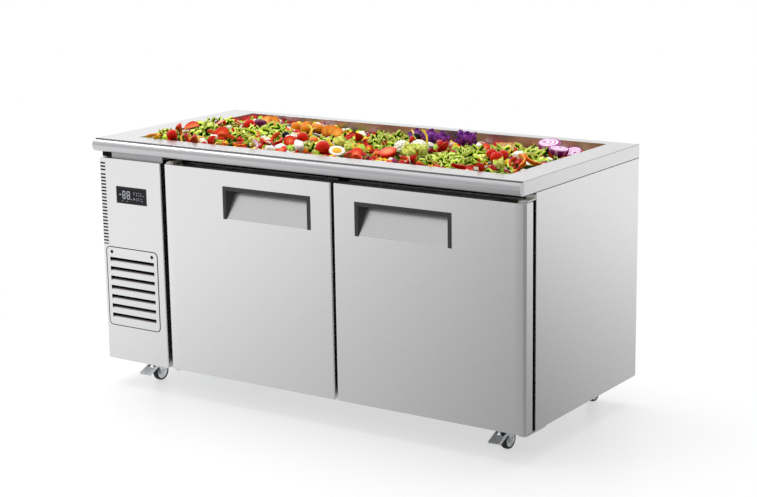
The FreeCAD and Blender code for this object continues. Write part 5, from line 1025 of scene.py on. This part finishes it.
HEROES = (  # kind, x, y, lift above the heap, size, lean towards the front, turn
    ("carrot", -608, -226, 6, 50, 10, 15), ("yellow_pepper", -588, -236, 4, 44, 0, 170),
    ("tomato_wedge", -602, -112, 14, 44, 60, 40), ("tomato_wedge", -584, -72, 14, 46, 75, 110),
    ("tomato", -548, -212, 10, 34, 20, 0), ("yellow_pepper", -500, -220, 8, 40, 40, 60),
    ("yellow_pepper", -478, -208, 8, 38, 60, 100), ("tomato_wedge", -452, -214, 10, 52, 50, 20),
    ("tomato_wedge", -535, 12, 14, 44, 80, 60), ("red_pepper", -455, -128, 12, 62, 25, 30),
    ("tomato_slice", -428, -120, 12, 50, 55, 20), ("red_pepper", -402, -128, 10, 56, 15, 75),
    ("tomato", -470, 72, 14, 38, 0, 0), ("beetroot", -472, 128, 8, 52, 8, 40),
    ("orange_slice", -495, 190, 8, 40, 40, 0), ("orange_slice", -468, 196, 10, 38, 60, 30),
    ("apricot", -352, 158, 8, 34, 0, 0), ("apricot", -345, 202, 6, 34, 30, 0),
    ("red_pepper", -560, 110, 8, 50, 40, 80), ("carrot", -345, -208, 8, 44, 10, 30),
    ("yellow_pepper", -352, -232, 6, 38, 20, 100), ("tomato_wedge", -400, -205, 6, 42, 40, 60),
    ("mozzarella", -425, -160, 8, 26, 0, 30), ("carrot", -284, -212, 8, 46, 20, 50),
    ("radicchio", -222, -215, 8, 66, 30, 80), ("endive", -255, -180, 3, 54, 8, 20),
    ("red_pepper", -240, -100, 12, 60, 30, 10), ("red_pepper", -212, -112, 10, 54, 10, 40),
    ("apricot", -284, 118, 10, 36, 20, 0), ("apricot", -258, 152, 6, 34, 0, 0),
    ("apricot", -290, 180, 6, 34, 0, 0), ("yellow_pepper", -238, 78, 14, 56, 30, 30),
    ("yellow_pepper", -212, 58, 12, 50, 60, 80), ("tomato", -178, -42, 14, 36, 0, 0),
    ("mozzarella", -205, -68, 12, 34, 0, 20), ("tomato_slice", -188, -92, 8, 38, 50, 40),
    ("mozzarella", -132, -212, 10, 42, 10, 30), ("mozzarella", -162, -226, 8, 34, 0, 70),
    ("mozzarella", -95, -172, 14, 42, 30, 60), ("tomato_slice", -118, -228, 6, 36, 30, 10),
    ("orange_slice", -192, 106, 12, 38, 60, 20), ("orange_slice", -168, 100, 12, 38, 55, 40),
    ("orange_slice", -146, 94, 10, 36, 50, 30), ("tomato", -12, -168, 16, 44, 15, 0),
    ("endive", -25, -58, 5, 58, 12, 10), ("yellow_pepper", -40, -85, 10, 46, 30, 60),
    ("tomato_wedge", -20, 30, 16, 46, 70, 20), ("olive", -258, -20, 12, 24, 0, 0),
    ("egg", 52, -186, 12, 48, 38, 25), ("endive", 55, -118, 6, 56, 12, 40),
    ("yellow_pepper", 82, -140, 12, 46, 20, 70), ("tomato_slice", 122, -192, 8, 46, 40, 10),
    ("red_pepper", 150, -216, 6, 54, 10, 20), ("tomato_wedge", 108, -212, 6, 40, 40, 60),
    ("half_tomato", 198, -142, 16, 52, 20, 0), ("cauliflower", 180, -42, 12, 52, 20, 0),
    ("cauliflower", 216, -6, 12, 56, 15, 40), ("tomato_wedge", 152, 62, 14, 44, 60, 20),
    ("yellow_pepper", 92, 146, 14, 56, 40, 10), ("yellow_pepper", 150, 128, 14, 66, 60, 40),
    ("olive", 118, 132, 14, 30, 0, 0), ("red_cabbage", 62, 216, 2, 66, 10, 30),
    ("red_cabbage", 108, 218, 3, 72, 14, 80), ("red_cabbage", 155, 206, 2, 66, 9, 140),
    ("red_cabbage", 232, 212, 6, 76, 16, 60), ("red_cabbage", 262, 198, 4, 72, 18, 75),
    ("red_cabbage", 208, 150, 3, 55, 8, 20), ("tomato_wedge", 266, 36, 14, 42, 65, 30),
    ("tomato_wedge", 286, 14, 12, 40, 60, 70), ("tomato_wedge", 246, 64, 14, 42, 50, 10),
    ("endive", 250, -102, 5, 64, 15, 20), ("endive", 276, -86, 5, 60, 15, 120),
    ("endive", 232, -78, 4, 58, 12, 250), ("red_pepper", 296, -198, 8, 58, 10, 15),
    ("tomato_wedge", 312, -180, 8, 44, 60, 30), ("red_pepper", 478, -196, 8, 58, 20, 80),
    ("tomato_wedge", 548, -210, 6, 40, 40, 20), ("mozzarella", 372, 78, 12, 28, 0, 0),
    ("tomato_slice", 392, 74, 10, 32, 40, 20), ("mushroom_slice", 402, 152, 8, 32, 62, 20),
    ("mushroom_slice", 418, 148, 8, 32, 62, 22), ("mushroom_slice", 434, 144, 8, 32, 62, 24),
    ("mushroom_slice", 450, 140, 7, 30, 60, 26), ("tomato", 486, -46, 12, 34, 0, 0),
    ("tomato", 518, -74, 12, 38, 10, 0), ("tomato", 506, -18, 12, 34, 0, 0),
    ("yellow_pepper", 506, 14, 14, 38, 40, 20), ("mozzarella", 553, -12, 14, 40, 0, 40),
    ("carrot", 598, -72, 14, 74, 20, 20), ("carrot", 620, -58, 14, 62, 30, 60),
    ("red_pepper", 578, -92, 10, 52, 20, 20), ("red_onion", 562, 152, 30, 76, 10, 30),
    ("red_onion", 610, 120, 20, 60, 8, 60), ("red_onion", 626, 172, 14, 54, 22, 20),
    ("radicchio", 622, -196, 5, 44, 5, 60), ("endive", 585, -170, 3, 50, 10, 20),
)


def salad_bed(number, x0, x1, y0, y1):
    """The lower salad in one pan: a slab, curly where it is leafy, that stores what lies where on it."""
    spacing, frill, mean_curl, least_leaf, below, depth, inset = 3, 15, 0.3, 0.1, 8, 36.5, 16
    nx, ny = int((x1 - x0) / spacing) + 1, int((y1 - y0) / spacing) + 1
    verts = [Vector((x0 + (x1 - x0) * i / (nx - 1), y0 + (y1 - y0) * j / (ny - 1), 0))
             for i in range(nx) for j in range(ny)]
    rim = grid_rim(nx, ny)
    edge = rim[:1] + rim[:0:-1]
    stored = {name: [] for name in FRINGE}
    for at in verts:
        leaves, clear, curl = leafiness(at.x, at.y), clearance(at.x, at.y), frizz(at.x, at.y)
        # Under the larger pieces the leaf share falls, so the bed there is painted dark: painted shade.
        leaf = leaves * max(clear, least_leaf)
        at.z = heap(at.x, at.y) - below + frill * (curl - mean_curl) * leaf
        for name, value in zip(FRINGE, (curl, leaf, leaf, (1 - leaves) * clear)):
            stored[name].append(value)
    for index in edge:
        verts[index].z -= below
        for name, value in FRINGE.items():
            stored[name][index] = value
    floor = RIM - depth
    for at in verts:
        at.z = max(at.z, floor + 1)
    base, count = len(verts), len(edge)
    faces = [(i * ny + j, (i + 1) * ny + j, (i + 1) * ny + j + 1, i * ny + j + 1)
             for i in range(nx - 1) for j in range(ny - 1)]
    middle = (y0 + y1) / 2
    inward = 1 - 2 * inset / (y1 - y0)
    verts += [Vector((verts[i].x, middle + (verts[i].y - middle) * inward, floor)) for i in edge]
    faces += [(edge[i], edge[(i + 1) % count], base + (i + 1) % count, base + i) for i in range(count)]
    faces.append(tuple(range(base, base + count)))
    made = mesh_object(f"pan_{number}_salad_base", [v * MM for v in verts], faces, HEAPED_LETTUCE, 180)
    for name, values in stored.items():
        numbers = made.data.attributes.new(name, "FLOAT", "POINT").data
        numbers.foreach_set("value", values + [FRINGE[name]] * count)
    return made


def scatter_tree():
    """Geometry nodes that strew a shape over a bed by a stored weight, turned and sized at random."""
    tree, given = maker_tree("scatter", {"Bed": "Geometry", "Shape": "Object", "Weight": "String",
                                         "Density": "Float", "Smallest": "Float", "Largest": "Float",
                                         "Lean": "Vector", "Seed": "Int", "Finish": "Material"})
    weight = add(tree, "GeometryNodeInputNamedAttribute", {"Name": given["Weight"]}, data_type="FLOAT")
    density = add(tree, "ShaderNodeMath", {0: weight, 1: given["Density"]}, operation="MULTIPLY")
    points = add(tree, "GeometryNodeDistributePointsOnFaces", {"Mesh": given["Bed"], "Density": density,
                                                               "Seed": given["Seed"]})
    other_way = add(tree, "ShaderNodeVectorMath", {0: given["Lean"], 1: (-1.0, -1.0, 0.0)},
                    operation="MULTIPLY")
    turn = add(tree, "FunctionNodeRandomValue", {VECTOR_MIN: other_way, VECTOR_MAX: given["Lean"],
                                                 "Seed": given["Seed"]}, data_type="FLOAT_VECTOR")
    size = add(tree, "FunctionNodeRandomValue", {FLOAT_MIN: given["Smallest"], FLOAT_MAX: given["Largest"],
                                                 "Seed": given["Seed"]}, data_type="FLOAT")
    shape = add(tree, "GeometryNodeObjectInfo", {"Object": given["Shape"]})
    laid = add(tree, "GeometryNodeInstanceOnPoints", {"Points": points, "Scale": size.outputs[FLOAT_OUT],
                                                      "Instance": shape.outputs["Geometry"],
                                                      "Rotation": turn.outputs[VECTOR_OUT]})
    tint = add(tree, "FunctionNodeRandomValue", {FLOAT_MIN: 0.0, FLOAT_MAX: 1.0, "Seed": 5},
               data_type="FLOAT")
    told = add(tree, "GeometryNodeStoreNamedAttribute", {"Geometry": laid, "Name": "tint",
                                                         "Value": tint.outputs[FLOAT_OUT]},
               data_type="FLOAT", domain="INSTANCE")
    return end_tree(tree, told, given["Finish"])


def strew(bed, number, tree, samples):
    """Curly leaves and chopped vegetables, laid over a pan's bed by its stored weights."""
    full_turn = 2 * math.pi
    layers = (("curly_lettuce", "frill", "leaves", 1900.0, (0.6, 0.97), (1.0, 1.0, full_turn), CURLY),
              ("vegetable_strips", "strip", "bits", 900.0, (0.7, 1.3), (0.9, 0.9, full_turn), CHOPPED),
              ("vegetable_cubes", "cube", "bits", 1100.0, (0.7, 1.3), (0.9, 0.9, full_turn), CHOPPED))
    for layer, (name, sample, weight, density, (smallest, largest), lean, finish) in enumerate(layers):
        mesh = grown(bed.data.copy(), tree, {"Shape": samples[sample], "Weight": weight, "Density": density,
                                             "Smallest": smallest, "Largest": largest, "Lean": lean,
                                             "Seed": 10 * layer + number, "Finish": finish})
        mesh.name = f"pan_{number}_{name}"
        mesh.shade_smooth()
        piece(linked_object(f"pan_{number}_{name}", mesh), f"pan_{number}", None)


def larger_pieces(number, x0, x1):
    """The whole, halved and sliced food of one pan, one piece for each kind."""
    inside = 0.4  # of its size, a piece's middle stays in from the pan's ends
    shapes = {}
    for kind, x, y, lift, size, lean, turn in HEROES:
        if x0 - 1 <= x <= x1 + 1:
            x = min(max(x, x0 + inside * size), x1 - inside * size)
            verts, faces, shades = FOODS[kind][0](size)
            spin = math.radians((7 * x + 3 * y) % 360)
            place = Matrix.Translation((x, y, heap(x, y) + lift))
            pose = (place @ Matrix.Rotation(math.radians(turn), 4, "Z")
                    @ Matrix.Rotation(math.radians(lean), 4, "X") @ Matrix.Rotation(spin, 4, "Z"))
            placed = [pose @ v for v in verts]
            over = max(0.0, max(v.z for v in placed) - RIM - HIGHEST)
            placed = [(v - Vector((0, 0, over))) * MM for v in placed]
            shapes.setdefault(kind, []).append((placed, faces, shades))
    for kind, own in shapes.items():
        verts, faces = together([shape[:2] for shape in own])
        shades = [tone for shape in own for tone in shape[2]]
        made = mesh_object(f"pan_{number}_{kind}", verts, faces, FOOD_FINISHES[kind], 45, shades)
        piece(made, f"pan_{number}", None)


def salad():
    """Fills the four pans; each pan's food rides on that pan."""
    tree = scatter_tree()
    beside, over_edge = 1, 14  # inside the pan's ends, and over its front and back edges
    frill = curly_frill(length=52, height=17, sway=9, waves=2.3, steps=13, thick=0.6)
    shapes = (("frill", CURLY, frill), ("strip", CHOPPED, strip(40)), ("cube", CHOPPED, chunk(30, 5, 8)))
    samples = {}
    for name, finish, (verts, faces, shades) in shapes:
        samples[name] = mesh_object(name, [v * MM for v in verts], faces, finish, shades=shades)
    for number, pan in enumerate(PANS, 1):
        low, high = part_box(pan)
        x0, x1 = low.x / MM + beside, high.x / MM - beside
        bed = salad_bed(number, x0, x1, low.y / MM - over_edge, high.y / MM + over_edge)
        strew(bed, number, tree, samples)
        piece(bed, f"pan_{number}", None)
        larger_pieces(number, x0, x1)
    for sample in samples.values():
        bpy.data.objects.remove(sample)


salad()


# Stage: pale floor, soft light, white behind
def studio_floor():
    """White floor: lit near the counter so that its shadow shows, white beyond, shaded for reflections."""
    half = 30.0
    corners = [(-half, -half, 0), (half, -half, 0), (half, half, 0), (-half, half, 0)]
    mesh = bpy.data.meshes.new("studio_floor")
    mesh.from_pydata(corners, [], [(0, 1, 2, 3)])
    made = material("white_studio_floor", "#F4F4F4", specular=0.3, Roughness=0.3)
    tree, shader = workings(made)
    place = add(tree, "ShaderNodeTexCoord")
    rays = add(tree, "ShaderNodeLightPath").outputs
    across = add(tree, "ShaderNodeSeparateXYZ", {"Vector": place.outputs["Object"]})
    # Reflected in the steel, the floor is bright to the left and the back and falls off to the front right.
    front_slope, back_slope, side_slope = 0.125, 0.35, -0.32
    front = add(tree, "ShaderNodeMath", {0: across.outputs["Y"], 1: front_slope}, operation="MULTIPLY")
    back = add(tree, "ShaderNodeMath", {0: across.outputs["Y"], 1: back_slope}, operation="MULTIPLY")
    depth = add(tree, "ShaderNodeMath", {0: front, 1: back}, operation="MAXIMUM")
    slope = add(tree, "ShaderNodeMath", {0: across.outputs["X"], 1: side_slope, 2: depth},
                operation="MULTIPLY_ADD")
    level = add(tree, "ShaderNodeMapRange", {"Value": slope, "From Min": -0.38, "From Max": 0.37,
                                             "To Min": 0.3, "To Max": 1.05})
    mirrored = add(tree, "ShaderNodeEmission", {"Color": linear("#FFFFFF"), "Strength": level})
    # Seen by the camera, the lit floor fades to plain white away from the counter.
    near = add(tree, "ShaderNodeMapping", {"Vector": place.outputs["Object"], "Location": (0.0, 0.08, 0.0),
                                           "Scale": (0.52, 0.62, 1.0)})
    reach = add(tree, "ShaderNodeVectorMath", {0: near}, operation="LENGTH")
    away = add(tree, "ShaderNodeMapRange", {"Value": reach.outputs["Value"], "From Min": 0.42,
                                            "From Max": 0.85}, interpolation_type="SMOOTHSTEP")
    lift = add(tree, "ShaderNodeEmission", {"Color": linear("#FFFFFF"), "Strength": 0.12})
    lifted = add(tree, "ShaderNodeAddShader", {0: shader, 1: lift})
    white = add(tree, "ShaderNodeEmission", {"Color": linear("#FFFFFF"), "Strength": 1.0})
    paler = add(tree, "ShaderNodeMath", {0: away, 1: 0.5}, operation="MAXIMUM")
    seen = add(tree, "ShaderNodeMixShader", {"Fac": paler, 1: lifted, 2: white})
    camera = add(tree, "ShaderNodeMixShader", {"Fac": rays["Is Camera Ray"], 1: shader, 2: seen})
    mirror = add(tree, "ShaderNodeMath", {0: rays["Is Glossy Ray"], 1: rays["Is Transmission Ray"]},
                 operation="MAXIMUM")
    add(tree, "ShaderNodeMixShader", {"Fac": mirror, 1: camera, 2: mirrored},
        feeds=tree.nodes["Material Output"].inputs["Surface"])
    mesh.materials.append(made)
    linked_object("studio_floor", mesh)


def area_light(name, place, target, size, power, mirrored=True):
    """A large soft lamp aimed at a point; one that isn't mirrored leaves no bright patch in the steel."""
    lamp = bpy.data.lights.new(name, "AREA")
    lamp.shape = "RECTANGLE"
    lamp.size, lamp.size_y = size
    lamp.energy = power
    made = linked_object(name, lamp)
    made.visible_glossy = mirrored
    made.location = place
    made.rotation_euler = (Vector(target) - Vector(place)).to_track_quat("-Z", "Y").to_euler()


def studio_world():
    """White for the camera, an even grey for light; for reflections brighter to the left, dimmer ahead."""
    world = bpy.data.worlds.new("studio")
    world.use_nodes = True
    bpy.context.scene.world = world
    tree = world.node_tree
    white = tree.nodes["Background"]
    white.inputs["Color"].default_value = linear("#FFFFFF")
    soft = add(tree, "ShaderNodeBackground", {"Color": linear("#FFFFFF"), "Strength": 0.55})
    place = add(tree, "ShaderNodeTexCoord")
    across = add(tree, "ShaderNodeSeparateXYZ", {"Vector": place.outputs["Generated"]})
    level = add(tree, "ShaderNodeMapRange", {"Value": across.outputs["X"], "From Min": -0.66,
                                             "From Max": 0.1, "To Min": 1.08, "To Max": 0.6})
    ahead = add(tree, "ShaderNodeMapRange", {"Value": across.outputs["Y"], "From Min": -0.75,
                                             "From Max": -0.2, "To Min": 0.62, "To Max": 1.0})
    strength = add(tree, "ShaderNodeMath", {0: level, 1: ahead}, operation="MULTIPLY")
    mirrored = add(tree, "ShaderNodeBackground", {"Color": linear("#FFFFFF"), "Strength": strength})
    rays = add(tree, "ShaderNodeLightPath").outputs
    lit = add(tree, "ShaderNodeMixShader", {"Fac": rays["Is Glossy Ray"], 1: soft, 2: mirrored})
    seen = add(tree, "ShaderNodeMath", {0: rays["Is Camera Ray"], 1: rays["Is Transmission Ray"]},
               operation="MAXIMUM")
    add(tree, "ShaderNodeMixShader", {"Fac": seen, 1: lit, 2: white},
        feeds=tree.nodes["World Output"].inputs["Surface"])


def photo_camera():
    """The camera at the photograph's place and angle."""
    heading, dip, roll = math.radians(34.32), math.radians(90 - 12.70), math.radians(-0.92)
    lens = bpy.data.cameras.new("camera")
    lens.lens = 84.03
    lens.sensor_width = 36.0
    made = linked_object("camera", lens)
    turn = Matrix.Rotation(heading, 4, "Z") @ Matrix.Rotation(dip, 4, "X") @ Matrix.Rotation(roll, 4, "Z")
    made.matrix_world = Matrix.Translation((2980.8 * MM, -4272.0 * MM, 1630.0 * MM)) @ turn
    bpy.context.scene.camera = made


studio_floor()
area_light("overhead_softbox", (-0.4, 0.4, 3.6), (0, 0, 0.4), (4.0, 3.0), 105, mirrored=False)
area_light("front_left_softbox", (-3.2, -3.6, 2.6), (0, 0, 0.5), (2.6, 2.2), 45, mirrored=False)
area_light("left_sparkle_lamp", (-2.3, -0.3, 3.0), (0, 0, 0.7), (0.7, 0.7), 9)
studio_world()
photo_camera()
bpy.context.scene.view_settings.view_transform = "Standard"
